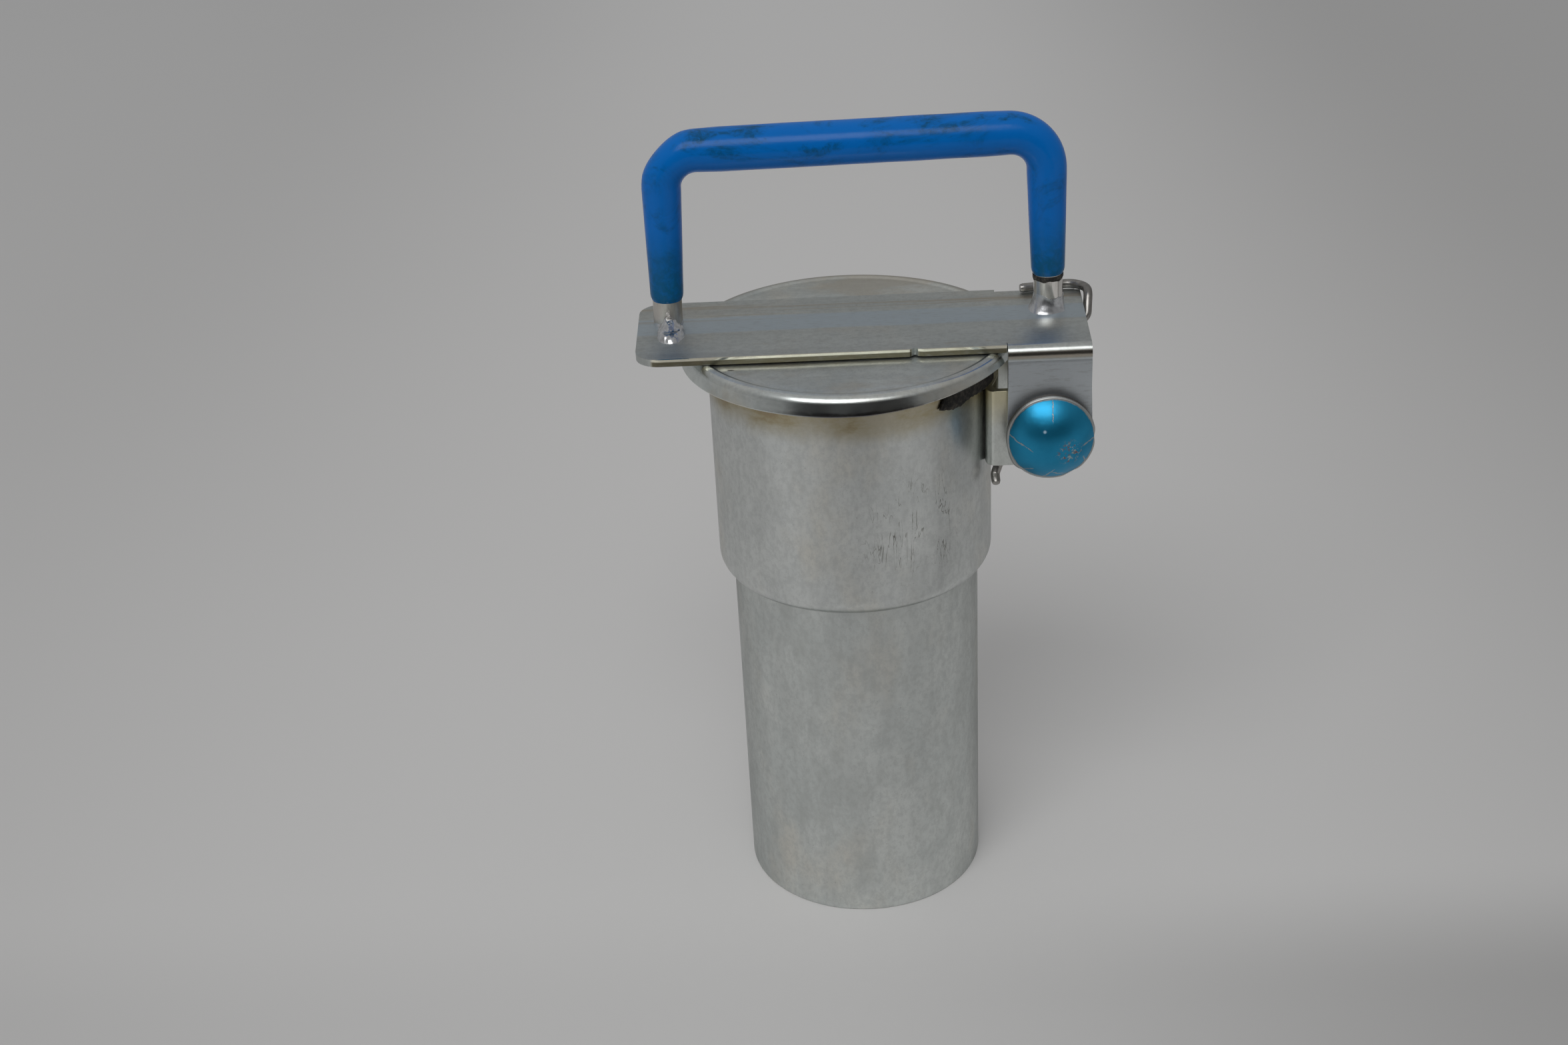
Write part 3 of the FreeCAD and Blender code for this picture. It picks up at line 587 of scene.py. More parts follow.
def rod_steel():
    """The handle's bare ends: bright, and duller where the left weld has tinted them brown."""
    look = Look("bright_rod", Metallic=1.0)
    stain = look.noise(180, 5, 0.65, (1, 1, 0.4))
    on_left = look.axis(0).band(-10, 10, 0.8, 0.0)
    steel = look.mix(stain.band(0.35, 0.62, 0.4, 0.0), (0.80, 0.78, 0.75), (0.42, 0.38, 0.33))
    steel = look.mix(on_left * stain.band(0.30, 0.55, 1.0, 0.5), steel, (0.36, 0.33, 0.275))
    look.surface(steel, on_left * 0.25 + (stain * 0.10 + 0.07))
    look.bump(look.noise(420, 3), 0.00005, 0.3)
    return look.material


def dark_steel(name, colour, roughness):
    """Hardened or blued steel, with a fine ground grain."""
    look = Look(name, Metallic=1.0)
    grain = look.noise(1400, 4, 0.6, (1, 0.08, 1))
    look.surface(look.mix(grain, colour, shade(colour, 1.6)), grain * 0.2 + roughness)
    look.bump(grain, 0.00003, 0.5)
    return look.material


def rubber():
    look = Look("black_rubber", Metallic=0.0)
    crumbs = look.noise(700, 6, 0.75)
    colour = look.mix(crumbs.band(0.42, 0.68), (0.010, 0.009, 0.008), (0.10, 0.088, 0.07))
    look.surface(colour, crumbs * 0.3 + 0.55)
    look.bump(crumbs, 0.0006, 0.9)
    return look.material


def flint():
    """Dark and granular."""
    look = Look("flint", Metallic=0.6)
    grains = look.noise(2500, 6, 0.7)
    look.surface(look.mix(grains, (0.06, 0.055, 0.05), (0.2, 0.19, 0.18)), grains * 0.3 + 0.5)
    look.bump(grains, 0.0002, 0.7)
    return look.material


def vinyl():
    """Dipped blue vinyl, semi-gloss, with dark smudges along the top and towards the ends."""
    look = Look("blue_vinyl", Metallic=0.0, Specular_IOR_Level=0.16)
    rise = look.axis(2)
    end = GRIP_LEFT_END / MM
    colour = look.mix(look.noise(60, 4, 0.6), (0.002, 0.15, 0.54), (0.003, 0.18, 0.64))
    smudge = look.noise(70, 7, 0.7, (0.5, 1, 1), distortion=1.2)
    dirt = look.noise(420, 5, 0.7, distortion=0.8)
    marks = smudge.band(0.49, 0.64, 0.0, 0.9) * dirt.band(0.34, 0.60, 0.3, 1.0)
    colour = look.mix(marks * rise.band(215, 226, 0.55, 1.0), colour, (0.004, 0.07, 0.14))
    pale = look.noise(130, 4, 0.6, (1, 1, 0.6), (0.4, 0, 0)).band(0.60, 0.72)
    colour = look.mix(pale * rise.band(190, 215, 0.5, 0.0), colour, (0.006, 0.21, 0.50))
    ends = rise.band(end + 4, end + 24, 0.9, 0.0) * dirt.band(0.30, 0.60, 0.55, 1.0)
    colour = look.mix(ends, colour, (0.002, 0.10, 0.21))
    look.surface(colour, smudge * 0.16 + 0.10)
    look.bump(look.noise(90, 3), 0.0004, 0.25)
    look.bump(dirt, 0.00012, 0.5)
    return look.material


def cracked_blue(name, side):
    """Metallic blue lacquer on the domed cap, split down to the bare metal; the cap's rim is bare, the dome has a
    painted glint and the skirt painted shade.
    """
    look = Look(name, Metallic=0.95, Coat_Weight=0.12, Coat_Roughness=0.2)
    centre_x, centre_z = PIN.x / MM, PIN.z / MM
    base, apex = -cap_high.y / MM, -cap_low.y / MM
    across = (look.axis(0) - centre_x) * -side
    rise = look.axis(2) - centre_z
    rag = look.noise(650, 4, 0.7)
    bare = (rag * 0.5 + look.length(across, rise)).band(11.35, 11.65)
    for start, end, width in CRACKS:
        start, end = Vector(start), Vector(end)
        way = (end - start).normalized()
        ahead = across * way.x + rise * way.y
        off = rise * way.x - across * way.y - (start.y * way.x - start.x * way.y)
        line = abs(off + (rag * 1.5 - 0.75)).band(0.25 * width, 0.75 * width, 1, 0)
        span = ahead.between(start.dot(way), end.dot(way), 0.5)
        bare = look.math("MAXIMUM", bare, line * span * 0.75)
    near = look.reach((centre_x - side * 4.9, side * apex, centre_z - 2.8)).band(1.8, 4.9, 1, 0)
    scuff = look.noise(1000, 4, 0.7).band(0.51, 0.57) * near
    lacquer = look.mix(look.noise(260, 4, 0.6), (0.014, 0.245, 0.45), (0.028, 0.33, 0.57))
    colour = look.mix(bare, lacquer, (0.46, 0.47, 0.46))
    scuffed = look.mix(look.noise(620, 2).band(0.45, 0.55), (0.24, 0.13, 0.12), (0.42, 0.50, 0.48))
    colour = look.mix(scuff, colour, scuffed)
    # painted highlight: a small pale, non-metallic spot on the dome stands in for a glint
    painted_glint_place = (centre_x + side * 2.2, side * (apex - 0.7), centre_z + 3.9)
    painted_glint = look.reach(painted_glint_place).band(0.15, 0.65, 0.85, 0)
    colour = look.mix(painted_glint, colour, (0.55, 0.72, 0.85))
    # painted shade: the skirt behind the rim is darkened to a dark crescent between the cap and the ear
    painted_shade_behind_rim = (look.axis(1) * side).band(base + 1.5, base + 1.8, 0.9, 0.0)
    colour = look.mix(painted_shade_behind_rim, colour, (0.07, 0.055, 0.045))
    look.surface(colour, look.math("MAXIMUM", bare, scuff) * 0.06 + 0.39)
    look.drive("Metallic", painted_glint * -0.9 + 0.95)
    look.bump(1 - bare, 0.00008, 0.8)
    look.bump(look.noise(240, 2), 0.0004, 0.2)
    return look.material


# ---- pieces of the tube ----
def dents(angle, r, z):
    """Slow, tiny unevenness of thin pressed sheet."""
    spot = Vector((cos(angle) * 1.6, sin(angle) * 1.6, z * 22))
    return 0.09 * MM * noise.noise(spot)


def make_tube():
    bore = TUBE_R - TUBE_WALL
    lip = 0.35 * MM
    outline = rounded([
        (bore, tube_low.z, lip), (TUBE_R, tube_low.z, lip), (TUBE_R, NECK_Z - 0.05 * MM, 0.2 * MM),
        (TUBE_R - 0.06 * MM, tube_high.z, lip), (bore, tube_high.z, lip)], 4)
    return lathe("tube_shell", subdivide(outline, 6 * MM), wobble=dents)


def make_sleeve():
    centre = (SLEEVE_R - SHOULDER_R, NECK_Z + SHOULDER_R)
    inner = SHOULDER_R - SLEEVE_WALL
    bore = SLEEVE_R - SLEEVE_WALL
    neck = TUBE_R + 0.02 * MM - centre[0]
    lip = 0.4 * MM
    outline = arc_points(centre, SHOULDER_R, -math.degrees(math.acos(neck / SHOULDER_R)), 0, 14)
    outline += [Vector((SLEEVE_R, SLEEVE_TOP - lip)), Vector((SLEEVE_R - lip, SLEEVE_TOP))]
    outline += [Vector((bore + lip, SLEEVE_TOP)), Vector((bore, SLEEVE_TOP - lip))]
    outline += arc_points(centre, inner, 0, -math.degrees(math.acos(neck / inner)), 10)
    return lathe("sleeve_shell", subdivide(outline, 6 * MM), wobble=dents)


def make_bracket():
    """Saddle and two cheeks, one folded sheet; s runs along its middle line from nose to nose."""
    nose_x = bracket_high.x
    cheek_y = bracket_high.y - 0.5 * SHEET
    saddle_r = SLEEVE_R + 0.03 * MM + 0.5 * SHEET
    spread = radians(22)
    arc = [Vector((saddle_r * cos(spread * k / 12), saddle_r * sin(spread * k / 12), 0))
           for k in range(-12, 13)]
    corner_x = bracket_low.x + 2.7 * MM
    bend = 1.6 * MM
    front = [Vector((nose_x, -cheek_y, 0)), Vector((corner_x, -cheek_y, 0)), arc[0]]
    rear = [arc[-1], Vector((corner_x, cheek_y, 0)), Vector((nose_x, cheek_y, 0))]
    line = rounded_path(front, (bend,), 0.6 * MM) + arc[1:-1] + rounded_path(rear, (bend,), 0.6 * MM)
    places = [0.0]
    for a, b in zip(line, line[1:]):
        places.append(places[-1] + (b - a).length)
    length = places[-1]
    nose_r = 0.5 * (bracket_high.z - bracket_low.z)
    mid_z = 0.5 * (bracket_high.z + bracket_low.z)

    def fold(s, z):
        s = min(max(s, 0.0), length)
        k = next(i for i in range(1, len(places)) if places[i] >= s - 1e-9)
        share = (s - places[k - 1]) / (places[k] - places[k - 1])
        spot = line[k - 1].lerp(line[k], share)
        return Vector((spot.x, spot.y, z + 0.6 * MM))

    outline = arc_points((nose_r, mid_z), nose_r, 90, 270, 24)
    outline += arc_points((length - nose_r, mid_z), nose_r, -90, 90, 24)
    cuts = [((s, 0), (1, 0)) for s in places[1:-1]]
    cuts += [((s, 0), (1, 0)) for s in (2 * MM, 5 * MM, length - 5 * MM, length - 2 * MM)]
    return sheet_piece("bracket_sheet", outline, cuts, fold)


# ---- pieces of the lid ----
def make_lid():
    """Panel, groove, rim and skirt in one turn; the skirt is then shortened towards the hinge."""
    top = lid_high.z
    panel = top - PANEL_DROP
    bend_z = top - RIM_R
    drop = bend_z + RIM_R * sin(SKIRT_LEAN) - lid_low.z - SKIRT_FOOT
    bend_r = LID_R - drop * math.tan(SKIRT_LEAN) - RIM_R * cos(SKIRT_LEAN)
    lean_deg = math.degrees(SKIRT_LEAN)
    inner = RIM_R - LID_SHEET
    inner_foot = bend_r + inner * cos(SKIRT_LEAN) + drop * math.tan(SKIRT_LEAN)
    outline = [(0.0, panel - LID_SHEET), (0.0, panel)] + [(r * MM, panel) for r in (8, 16, 24, 32, 38)]
    outline += s_curve((STEP_START_R - 2.0 * MM, panel), (STEP_START_R + 0.1 * MM, panel - GROOVE_DEPTH), 6)
    outline += s_curve((STEP_START_R + 0.4 * MM, panel - GROOVE_DEPTH), (STEP_END_R, top), 10)
    outline += arc_points((bend_r, bend_z), RIM_R, 90, lean_deg, 18)
    outline += [(LID_R, lid_low.z + SKIRT_FOOT), (LID_R - 0.12 * MM, lid_low.z + 0.1 * MM),
                (LID_R - SKIRT_FOOT, lid_low.z), (inner_foot + 0.2 * MM, lid_low.z),
                (inner_foot, lid_low.z + 0.2 * MM)]
    outline += arc_points((bend_r, bend_z), inner, lean_deg, 90, 12)
    outline += s_curve((STEP_END_R, top - LID_SHEET), (STEP_START_R, panel - LID_SHEET - GROOVE_DEPTH), 6)
    outline += [(r * MM, panel - LID_SHEET) for r in (38, 30, 20, 10)]

    def uneven(angle, r, z):
        spot = Vector((cos(angle) * 2.2, sin(angle) * 2.2, 0))
        return (0.12 * noise.noise(spot) - 0.4) * MM * (r / LID_R) ** 4

    piece = lathe("lid_shell", outline, segments=256, wobble=uneven)
    for vert in piece.data.vertices:
        reach = hypot(vert.co.x, vert.co.y)
        flat = max(0.0, 1 - (reach / (STEP_START_R - 2.0 * MM)) ** 6)
        vert.co.z -= flat * 0.06 * MM * (1 + noise.noise(vert.co * 45))
        on_rim = min(1.0, max(0.0, (reach - 43.0 * MM) / MM))
        down = (top - vert.co.z) / (top - lid_low.z) * on_rim * smooth(vert.co.x / (42 * MM))
        vert.co.z += SKIRT_LIFT * down
        vert.co.x -= 0.5 * MM * down
    return piece


def make_gasket():
    """The rubber ring under the lid, and the ragged lip squeezed out of it beside the hinge."""
    inner_r, outer_r = 36.2 * MM, 41.1 * MM
    under, top = 166.02 * MM, gasket_high.z
    ring = lathe("gasket_ring", rounded([
        (inner_r, under, 0.4 * MM), (outer_r, under, 0.4 * MM),
        (outer_r, top, 0.2 * MM), (inner_r, top, 0.2 * MM)], 3))
    lip_top = under + 0.3 * MM
    inside = 39.25 * MM
    sections = []
    steps = 90
    for k in range(steps + 1):
        degrees = -49.5 + 29.5 * k / steps
        grow = min(1.0, k / (0.12 * steps))
        ragged = noise.noise(Vector((degrees * 0.7, 1.3, 0)))
        ragged += 0.8 * noise.noise(Vector((degrees * 2.3, 4.0, 0)))
        rise = min(1.0, max(0.0, (degrees + 47.0) / 6.0))
        low = gasket_low.z + (1 - grow) * 0.9 * MM + (0.5 + 1.1 * rise) * MM + 0.6 * MM * ragged
        low = max(low, gasket_low.z)
        outside = inside + (0.5 + 1.3 * grow ** 0.5) * MM + 0.15 * MM * ragged
        section = rounded([(inside, low, 0.2 * MM), (outside, low, 0.3 * MM), (outside, lip_top, 0.1 * MM),
                           (inside, lip_top, 0.1 * MM)], 3)
        trail = radians(5.0) * (1 - grow)
        turns = [radians(degrees) - trail * (lip_top - z) / (lip_top - low) for r, z in section]
        sections.append([Vector((r * cos(turn), r * sin(turn), z)) for turn, (r, z) in zip(turns, section)])
    return ring, loft("gasket_lip", sections)


def make_bar():
    """Flat bar with two ears, one folded sheet. Flat coordinates: x along the bar, s across it."""
    left, right = bar_low.x, 63.9 * MM
    half = 20.6 * MM
    bend_r = 3.0 * MM
    face_y = bar_high.y
    flat = face_y - bend_r
    middle_r = bend_r - 0.5 * SHEET
    turn = 0.5 * pi * middle_r
    ear_left, ear_right = 41.8 * MM, right
    relief = 0.2 * MM
    ear_r = 11.3 * MM
    bend_z = BAR_TOP - bend_r
    brake_mark = 1.25 * MM         # from the bend down to the press brake's mark

    def down_to(z):
        """Flat distance from the bar's middle line to height z on an ear."""
        return flat + turn + (bend_z - z)

    wide_s, straight_s, end_s = down_to(PIN.z + 3 * MM), down_to(PIN.z + 13 * MM), down_to(bar_low.z)

    def ear(side):
        """One ear's outline, from the bar's left part round to its right end."""
        eye_left, eye_right = PIN.x - ear_r, PIN.x + ear_r
        eye = ear_r - 0.01 * MM
        corners = [(ear_left - relief, half, 0.3), (ear_left - relief, flat, 0.2), (ear_left, flat, 0.2),
                   (ear_left, straight_s, 2.5), (eye_left, wide_s, 2.5), (eye_left, end_s, eye / MM),
                   (eye_right, end_s, eye / MM), (eye_right, wide_s, 2.5), (ear_right, straight_s, 2.5),
                   (ear_right, flat + turn, 0.3), (ear_right, flat, 0.3)]
        return [(x, side * s, radius * MM) for x, s, radius in corners]

    nick = [(16.0 * MM, -half, 0.2 * MM), (17.4 * MM, -half + 1.3 * MM, 0.2 * MM),
            (18.2 * MM, -half + 0.4 * MM, 0.1 * MM), (19.6 * MM, -half, 0.2 * MM)]
    corner = 7.0 * MM
    corners = [(left - 0.8 * MM, half, corner), (left + 0.6 * MM, -half, corner)] + nick + ear(FRONT)
    corners += [(right, -flat + 0.3 * MM, 0.3 * MM), (right + 1.5 * MM, flat - 0.3 * MM, 0.3 * MM)]
    corners += ear(REAR)[::-1]

    def fold(x, s):
        side = 1 if s > 0 else -1
        over = abs(s) - flat
        if over <= 0 or (abs(s) <= half + 0.01 * MM and x < ear_left - 0.25 * relief):
            return Vector((x, s, BAR_TOP - 0.5 * SHEET))
        if over < turn:
            angle = over / middle_r
            return Vector((x, side * (flat + middle_r * sin(angle)), bend_z + middle_r * cos(angle)))
        sunk = 0.16 * MM * exp(-((over - turn - brake_mark) / (0.5 * MM)) ** 2)
        return Vector((x, side * (face_y - 0.5 * SHEET - sunk), bend_z - (over - turn)))

    cuts = [((0, side * (flat + turn * k / 8)), (0, 1)) for side in (FRONT, REAR) for k in range(9)]
    cuts += [((0, side * (flat + turn + brake_mark + k * 0.3 * MM)), (0, 1))
             for side in (FRONT, REAR) for k in range(-3, 4)]
    cuts += [((x * MM, 0), (1, 0)) for x in range(-48, 64, 8)]
    return sheet_piece("bar_sheet", rounded(corners, 10), cuts, fold, edge=0.6 * MM)


def uneven_rim(angle, r, z):
    return 0.10 * MM * noise.noise(Vector((cos(angle) * 2.4, sin(angle) * 2.4, 3.1))) * (r > 8 * MM)


def make_washer(name, side):
    """Push-on washer: a flat spring-steel ring with rounded edges."""
    inner, outer = -washer_high.y, -washer_low.y
    rim_r = 0.5 * (washer_high.x - washer_low.x)
    bore_r = 5.1 * MM
    lip = 0.3 * MM
    outline = rounded([(bore_r, inner, 0.1 * MM), (rim_r, inner, lip), (rim_r, outer, lip),
                       (bore_r + 1.5 * MM, outer, 0), (bore_r, outer - 0.2 * MM, 0.1 * MM)], 4)
    return lay_on_pin(lathe(name, outline, segments=160, wobble=uneven_rim), side)


def make_cap(name, side):
    """Push-on cap: crimped skirt, narrow flange and a dome, pressed from thin sheet."""
    skirt_r = 0.5 * (cap_high.x - cap_low.x)
    base, apex = -cap_high.y, -cap_low.y
    flange = base + 2.4 * MM
    sheet = 0.7 * MM
    dome_r = 11.35 * MM
    dome_h = apex - flange
    ball_r = (dome_r ** 2 + dome_h ** 2) / (2 * dome_h)
    ball = (0.0, apex - ball_r)
    outer_deg = math.degrees(math.acos(dome_r / ball_r))
    inner_deg = math.degrees(math.acos((dome_r - sheet) / (ball_r - sheet)))
    skirt = rounded([(dome_r, flange, 0), (skirt_r, flange, 0.55 * MM), (skirt_r, base, 0.3 * MM),
                     (skirt_r - sheet, base, 0.2 * MM), (skirt_r - sheet, flange - sheet, 0)], 5)
    outline = arc_points(ball, ball_r, 90, outer_deg, 26) + skirt[1:]
    outline += arc_points(ball, ball_r - sheet, inner_deg, 90, 16)

    def crimps(angle, r, z):
        depth = 0.0
        for crimp in CRIMPS:
            away = abs((math.degrees(angle) - crimp + 180) % 360 - 180)
            depth += exp(-(away / 8.0) ** 2)
        ripple = noise.noise(Vector((cos(angle) * 2, sin(angle) * 2, r * 150)))
        swollen = 0.45 * MM * exp(-((math.degrees(angle) % 360 - 218) / 16) ** 2)
        groove = 0.10 * MM * sin(z * 9000) * (swollen > 0.1 * MM)
        share = r / skirt_r
        return (0.10 * MM * ripple + (swollen + groove - 0.42 * MM * depth) * share ** 5) * share

    return lay_on_pin(lathe(name, outline, segments=160, wobble=crimps), side)


# ---- handle ----
def handle_path(spacing):
    route = [LEFT_FOOT, LEFT_TOP, RIGHT_TOP, RIGHT_FOOT]
    return rounded_path(route, (HANDLE_BEND_R, HANDLE_BEND_R), spacing)


def make_rod():
    path = handle_path(1.5 * MM)
    radii = [ROD_R + 0.05 * MM * noise.noise(p * 260) for p in path]
    return tube_along("rod", path, radii)


def make_grip():
    """Vinyl skin: thin at the legs' ends, thickest on top, each end a rounded, drawn-out lip."""
    end_r, leg_r, top_r = 4.45 * MM, 5.3 * MM, 5.9 * MM
    path = [p for p in handle_path(0.8 * MM) if p.z > (GRIP_LEFT_END if p.x < 0 else GRIP_RIGHT_END)]
    leg_top = LEFT_TOP.z - HANDLE_BEND_R
    radii = []
    for p in path:
        foot = GRIP_LEFT_END if p.x < 0 else GRIP_RIGHT_END
        up_leg = min(1.0, (p.z - foot) / (leg_top - foot))
        from_side = min(p.x - LEFT_TOP.x, RIGHT_TOP.x - p.x)
        on_top = min(1.0, max(0.0, from_side / (1.6 * HANDLE_BEND_R)))
        radius = end_r + (leg_r - end_r) * up_leg ** 0.8 + (top_r - leg_r) * on_top ** 0.7
        radii.append(radius + 0.06 * MM * noise.noise(p * 120))
    lip = 2.2 * MM
    from_end = 0.0
    for i in range(8):
        pinch = 0.42 * MM * max(0.0, 1 - from_end / lip) ** 3
        radii[i] -= pinch
        radii[-1 - i] -= pinch
        from_end += (path[i + 1] - path[i]).length
    piece = tube_along("grip_skin", path, radii, sides=64)
    corner = LEFT_TOP + Vector((-1, 0, 1)) * 3 * MM
    for vert in piece.data.vertices:
        pressed = max(0.0, 1 - (vert.co - corner).length / (9 * MM))
        vert.co += Vector((1, 0, -1)).normalized() * (0.9 * MM * pressed)
    return piece


def make_scorch():
    """The dark, ragged edge where the vinyl ends on the right leg's bright rod."""
    foot, height = RIGHT_FOOT, GRIP_RIGHT_END
    way = (RIGHT_TOP - foot).normalized()
    across = way.orthogonal().normalized()
    up = way.cross(across)
    low = foot + way * ((height - 1.2 * MM - foot.z) / way.z)
    steps = 8
    rings = []
    for i in range(steps + 1):
        skin = ROD_R + (0.02 + 0.16 * min(1.0, i / 3)) * MM
        ring = ring_about(low + way * (i * 0.2 * MM), across, up, 72, skin)
        for k, point in enumerate(ring):
            turn = 2 * pi * k / 72
            rag = 0.7 * MM * noise.noise(Vector((cos(turn) * 2.5, sin(turn) * 2.5, 7.0 + height * 90)))
            point += way * max(0.0, rag + 0.3 * MM) * (1 - i / steps)
        rings.append(ring)
    return loft("scorch_right", rings)


def make_bead():
    """The left weld: one lumpy bead on the front of the rod, highest against it."""
    peak = in_mm(-48.6, 0.8, 176.4)
    middle = in_mm(-48.0, -3.3, 0)
    half_x, half_y = 3.85 * MM, 6.3 * MM
    layers, sides = 26, 96
    rings = []
    for i in range(layers + 1):
        share = i / layers
        spread = 0.26 * (1 + cos(pi * share)) + 0.48 * (1 - min(share, 0.995) ** 4) ** 0.5
        rise = share - 0.07 * sin(4 * pi * share)
        ring = []
        for k in range(sides):
            turn = 2 * pi * k / sides
            wave = 1 + 0.07 * noise.noise(Vector((cos(turn) * 1.8, sin(turn) * 1.8, 3.0)))
            foot = middle + Vector((half_x * cos(turn), half_y * sin(turn), 0)) * wave
            point = Vector((peak.x, peak.y, 0)).lerp(foot, spread)
            point.z = BAR_TOP - 0.05 * MM + (peak.z - BAR_TOP) * rise
            lump = noise.noise(point * 420) + noise.noise(point * 1000)
            outward = (point - Vector((middle.x, 0, BAR_TOP))).normalized()
            point += outward * (0.36 * MM * lump * min(1.0, 3 * share))
            ring.append(point)
        rings.append(ring)
    return loft("weld_left_bead", rings, 60)


def make_weld_ring(name, foot, reach_mm, height_mm, seed, left_lift_mm=0.0, flare_mm=0.0):
    """Weld metal all round a handle's foot: a hollow-sided flare, lumpy and uneven."""
    layers, sides = 18, 96
    rings = []
    for i in range(layers + 1):
        share = i / layers
        ring = []
        for k in range(sides):
            turn = 2 * pi * k / sides
            left, front = max(0.0, -cos(turn)), max(0.0, -sin(turn))
            spot = Vector((cos(turn) * 1.8, sin(turn) * 1.8, seed))
            base = max(4.1, reach_mm + flare_mm * (1.3 * left + front) + 0.4 * noise.noise(spot)) * MM
            top = (height_mm + left_lift_mm * left + 0.6 * noise.noise(spot * 1.3)) * MM
            waist = ROD_R + 0.06 * MM
            reach = waist + (base - waist) * (1 - share) ** 2.0
            lump = 0.20 * MM * noise.noise(Vector((reach * cos(turn), reach * sin(turn), share * top)) * 430
                                           + Vector((seed, 0, 0)))
            reach += max(0.0, lump) * sin(pi * min(1.0, share + 0.1))
            ring.append(Vector((foot.x + reach * cos(turn), foot.y + reach * sin(turn),
                                foot.z - 0.05 * MM + top * share)))
        rings.append(ring)
    return loft(name, rings, 60)


# ---- return spring ----
def make_spring():
    """Torsion spring on the pin; its route is the frame's, in metres."""
    wire_r, coil_r, pitch = 1.25 * MM, 7.2 * MM, 2.7 * MM
    start_y, start_deg, turns = -14.4 * MM, -66.0, 7.07
    end_deg = start_deg + 360 * turns

    def coil(degrees):
        turn = radians(degrees)
        y = start_y + pitch * (degrees - start_deg) / 360
        return Vector((PIN.x + coil_r * sin(turn), y, PIN.z + coil_r * cos(turn)))

    def heading(degrees):
        return (coil(degrees + 0.5) - coil(degrees - 0.5)).normalized()

    start, end = coil(start_deg), coil(end_deg)
    lower = [start, start - heading(start_deg) * 16.4 * MM, in_mm(38.8, -16.0, 133.2),
             in_mm(38.9, -18.5, 131.5)]
    upper = [end, end + heading(end_deg) * 23.9 * MM + in_mm(0, 3.0, 0), in_mm(67.0, 12.8, 174.1),
             in_mm(66.4, 20.4, 174.1), in_mm(48.6, 17.4, 174.1)]
    tail = rounded_path(lower, (2.0 * MM, 1.6 * MM), 0.7 * MM)[::-1]
    hook = rounded_path(upper, (2.4 * MM, 3.0 * MM, 5.2 * MM), 0.7 * MM)
    count = round(turns * 48)
    middle = [coil(start_deg + (end_deg - start_deg) * k / count) for k in range(1, count)]
    path = tail + middle + hook
    radii = [wire_r] * len(path)
    radii[0] = radii[-1] = 0.82 * wire_r
    piece = tube_along("spring_wire", path, radii, sides=28)
    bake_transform(piece)
    return piece


# ---- stage ----
def add_floor():
    """Pale paper with painted light and shade: painted paler far away, and painted shade beside and in front of
    the object.
    """
    bm = bmesh.new()
    bmesh.ops.create_grid(bm, x_segments=2, y_segments=2, size=6.0)
    floor = new_piece("floor", bm)
    look = Look("floor_paper", Metallic=0.0)
    across, depth = look.axis(0), look.axis(1)
    # painted light: the paper is painted paler far from the object, making up for the lamps' falloff
    painted_far_light = look.reach((100, 0, 0)).band(300, 1800)
    paper = look.mix(painted_far_light, (0.745, 0.74, 0.735), (0.84, 0.84, 0.84))
    paler = look.mix(painted_far_light, (0.765, 0.76, 0.755), (0.86, 0.86, 0.86))
    # painted shade: the paper is darkened beside the object and in front of it
    sides = (across.band(40, 420, 0, 0.30) + across.band(-420, -40, 0.20, 0)) * depth.band(-160, -90)
    near = depth.between(-130, -50, 30) * across.band(-40, 180, 0.08, 0.28)
    middle = depth.band(-280, -90, 1, 0) * abs(across).band(60, 200, 1, 0)
    darker = sides + (middle * 0.28 + near)
    colour = look.mix(darker, look.mix(look.noise(3, 3), paper, paler), (0.0, 0.0, 0.0))
    look.surface(colour, look.noise(60, 3) * 0.1 + 0.6)
    floor.data.materials.append(look.material)


def add_dark_card():
    """A black card behind the camera: it gives the bright metal its dark reflections, and is never seen."""
    width, height, distance = 1.3, 0.52, 0.78
    bm = bmesh.new()
    corners = ((-0.5, 0.004), (0.5, 0.004), (0.5, 1.0), (-0.5, 1.0))
    bm.faces.new([bm.verts.new((x * width, -distance, z * height)) for x, z in corners])
    card = new_piece("dark_card", bm)
    look = Look("card_black", Metallic=0.0, Roughness=0.9)
    look.drive("Base Color", look.mix(look.noise(8, 3), (0.02, 0.02, 0.022), (0.04, 0.04, 0.042)))
    card.data.materials.append(look.material)
    card.visible_camera = False
    card.visible_shadow = False


def add_lamp(name, kind, place, power, **settings):
    """A lamp that faces the object."""
    data = bpy.data.lights.new(name, kind)
    data.energy = power
    for key, value in settings.items():
        setattr(data, key, value)
    lamp = bpy.data.objects.new(name, data)
    lamp.location = place
    lamp.rotation_mode = "QUATERNION"
    lamp.rotation_quaternion = (Vector((0, 0, 0.1)) - Vector(place)).to_track_quat("-Z", "Y")
    scene.collection.objects.link(lamp)


def add_world():
    """A grey studio: lighter overhead, darker in front, and plain where the camera sees it directly."""
    world = bpy.data.worlds.new("studio")
    world.use_nodes = True
    sky = Nodes(world.node_tree, "Generated")
    side, depth, height = sky.axis(0), sky.axis(1), sky.axis(2)
    in_front = depth.band(-0.75, -0.15, 1, 0) * height.band(0.5, 0.8, 1, 0)
    level = height.band(0.35, 0.95, 0.27, 0.40) + in_front * -0.08
    level = level * (side * -0.10 + 1.0)
    grey = sky.add("CombineColor", {0: level, 1: level, 2: level}).outputs[0]
    seen = sky.add("LightPath").outputs["Is Camera Ray"]
    back = world.node_tree.nodes["Background"]
    sky.put(back.inputs["Color"], sky.mix(seen, grey, (0.36, 0.36, 0.36)))
    scene.world = world


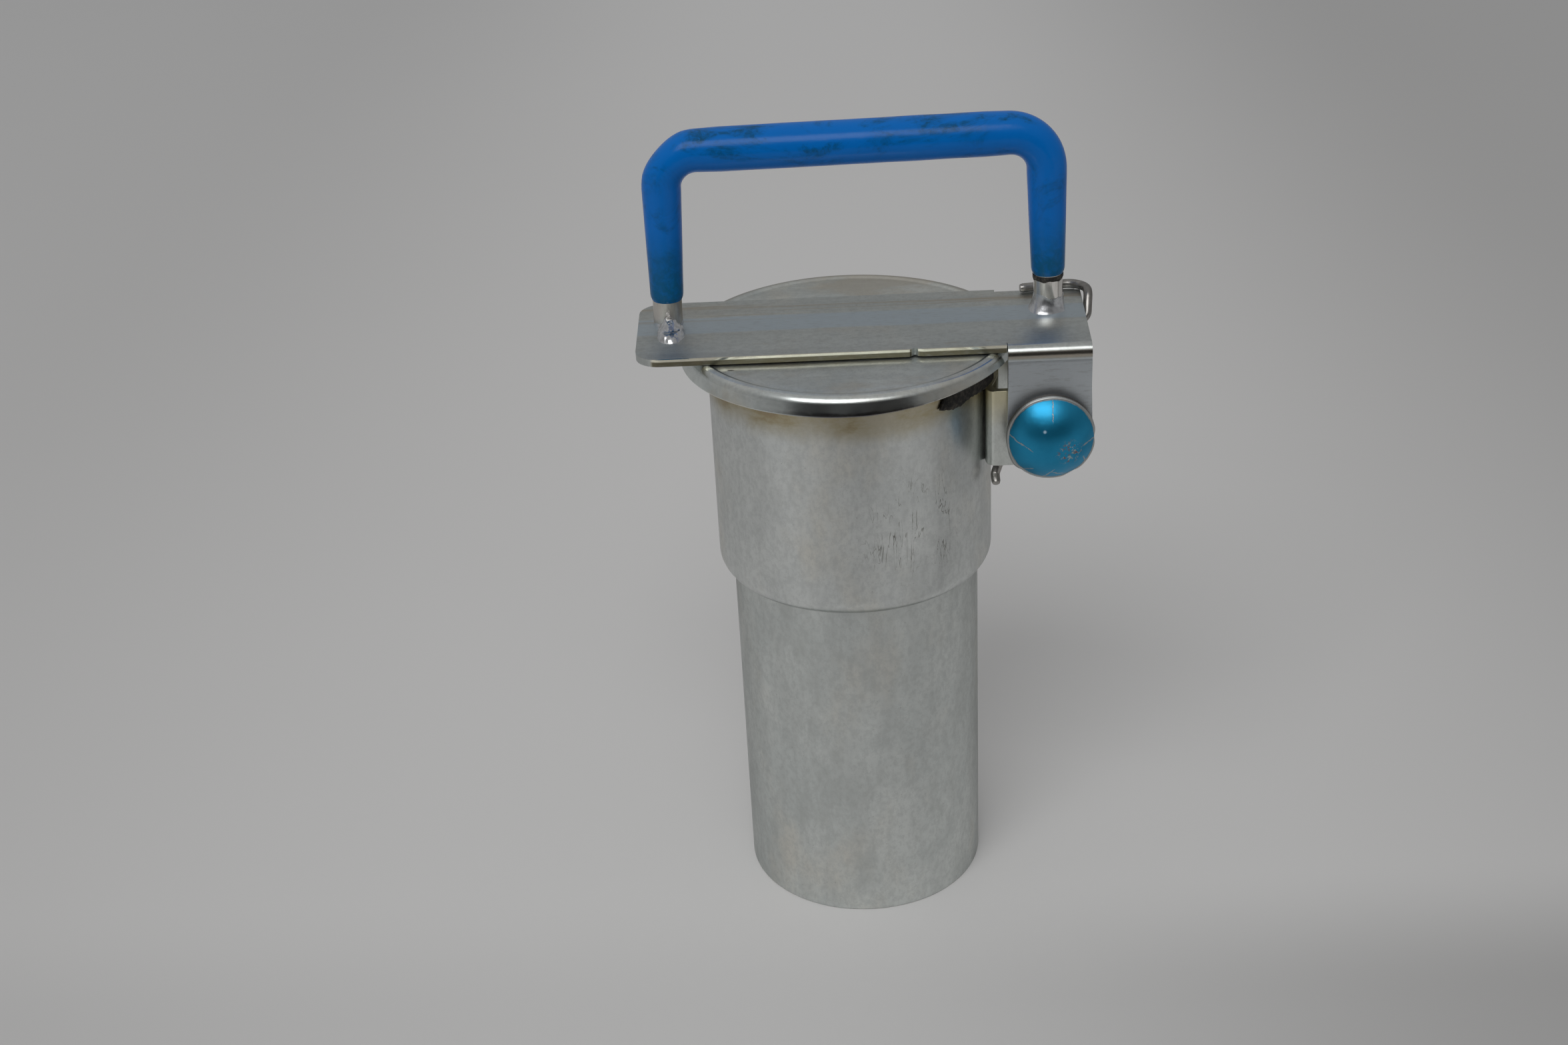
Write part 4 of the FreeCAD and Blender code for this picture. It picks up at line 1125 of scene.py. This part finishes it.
# ---- put it together ----
add_camera()
add_world()
add_floor()
add_dark_card()
add_lamp("key_softbox", "AREA", (-0.63, -1.74, 2.36), 28, shape="RECTANGLE", size=1.9, size_y=1.4)
add_lamp("fill_softbox", "AREA", (0.52, -1.94, 2.23), 3, shape="RECTANGLE", size=1.2, size_y=1.0)
add_lamp("small_lamp", "POINT", (-0.12825, -1.1796, 0.3191), 0.05, shadow_soft_size=0.012)

# the frame's own materials hold the plain names, so Blender adds a dot and a number to these
LOOKS = {look.name.split(".")[0]: look for look in (
    tube_zinc(), sleeve_zinc(), lid_zinc(), bar_zinc(), plate_zinc(),
    bright_steel("braze", (0.60, 0.48, 0.26), 0.40),
    bright_steel("weld_metal", (0.74, 0.75, 0.77), 0.22, 0.6, 0.6),
    dark_steel("hard_steel", (0.20, 0.21, 0.23), 0.32),
    bright_steel("rivet_steel", (0.66, 0.65, 0.63), 0.28),
    bright_steel("spring_wire", (0.39, 0.375, 0.355), 0.28, 0.6),
    dark_steel("spring_strip", (0.22, 0.25, 0.33), 0.28),
    bright_steel("pin_steel", (0.60, 0.60, 0.58), 0.25),
    bright_steel("washer_steel", (0.70, 0.69, 0.67), 0.20, 0.3),
    rod_steel(), rubber(), flint(), vinyl())}


def finish_piece(piece, slot, nodes=(), body="lid_assembly", material=None):
    """Gives a piece its material and slot, and puts it in the place of its CAD nodes."""
    piece.data.materials.clear()
    piece.data.materials.append(material or LOOKS[slot])
    if body:
        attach(piece, body)
    if nodes:
        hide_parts(*nodes)


finish_piece(make_tube(), "zinc_tube", ["lower_tube"], "tube")
finish_piece(make_sleeve(), "zinc_sleeve", ["upper_sleeve"], "tube")
finish_piece(make_bracket(), "zinc_plate", ["hinge_bracket"], "tube")
finish_piece(make_lid(), "zinc_lid", ["lid"])
gasket_ring, gasket_lip = make_gasket()
finish_piece(gasket_ring, "black_rubber", ["lid_gasket"])
finish_piece(gasket_lip, "black_rubber")
finish_piece(make_bar(), "zinc_bar", ["cross_bar"])
for side, word in ((FRONT, "front"), (REAR, "rear")):
    finish_piece(make_washer(f"washer_{word}", side), "washer_steel", [f"pin_washer_{word}"])
    blue = cracked_blue(f"blue_cap_{word}", side)
    finish_piece(make_cap(f"dome_{word}", side), "blue_cap", [f"pin_dome_{word}"], material=blue)
finish_piece(make_rod(), "bright_rod", ["handle_rod"])
finish_piece(make_grip(), "blue_vinyl", ["handle_grip"])
finish_piece(make_bead(), "weld_metal", ["handle_weld_left"])
left_root = make_weld_ring("weld_left_root", LEFT_FOOT, reach_mm=4.1, height_mm=0.9, seed=2.0)
finish_piece(left_root, "weld_metal")
right_weld = make_weld_ring("weld_right", RIGHT_FOOT, reach_mm=4.3, height_mm=4.0, seed=9.0,
                            left_lift_mm=1.8, flare_mm=1.0)
finish_piece(right_weld, "weld_metal", ["handle_weld_right"])
finish_piece(make_scorch(), "black_rubber")
finish_piece(make_spring(), "spring_wire", ["return_spring"], None)

for entry in frame["record"]["subparts"]:
    node = frame["nodes"][entry["node"]]
    slot = entry["material_slot"]
    if slot in LOOKS and not node.hide_render:
        node.data.materials.clear()
        node.data.materials.append(LOOKS[slot])
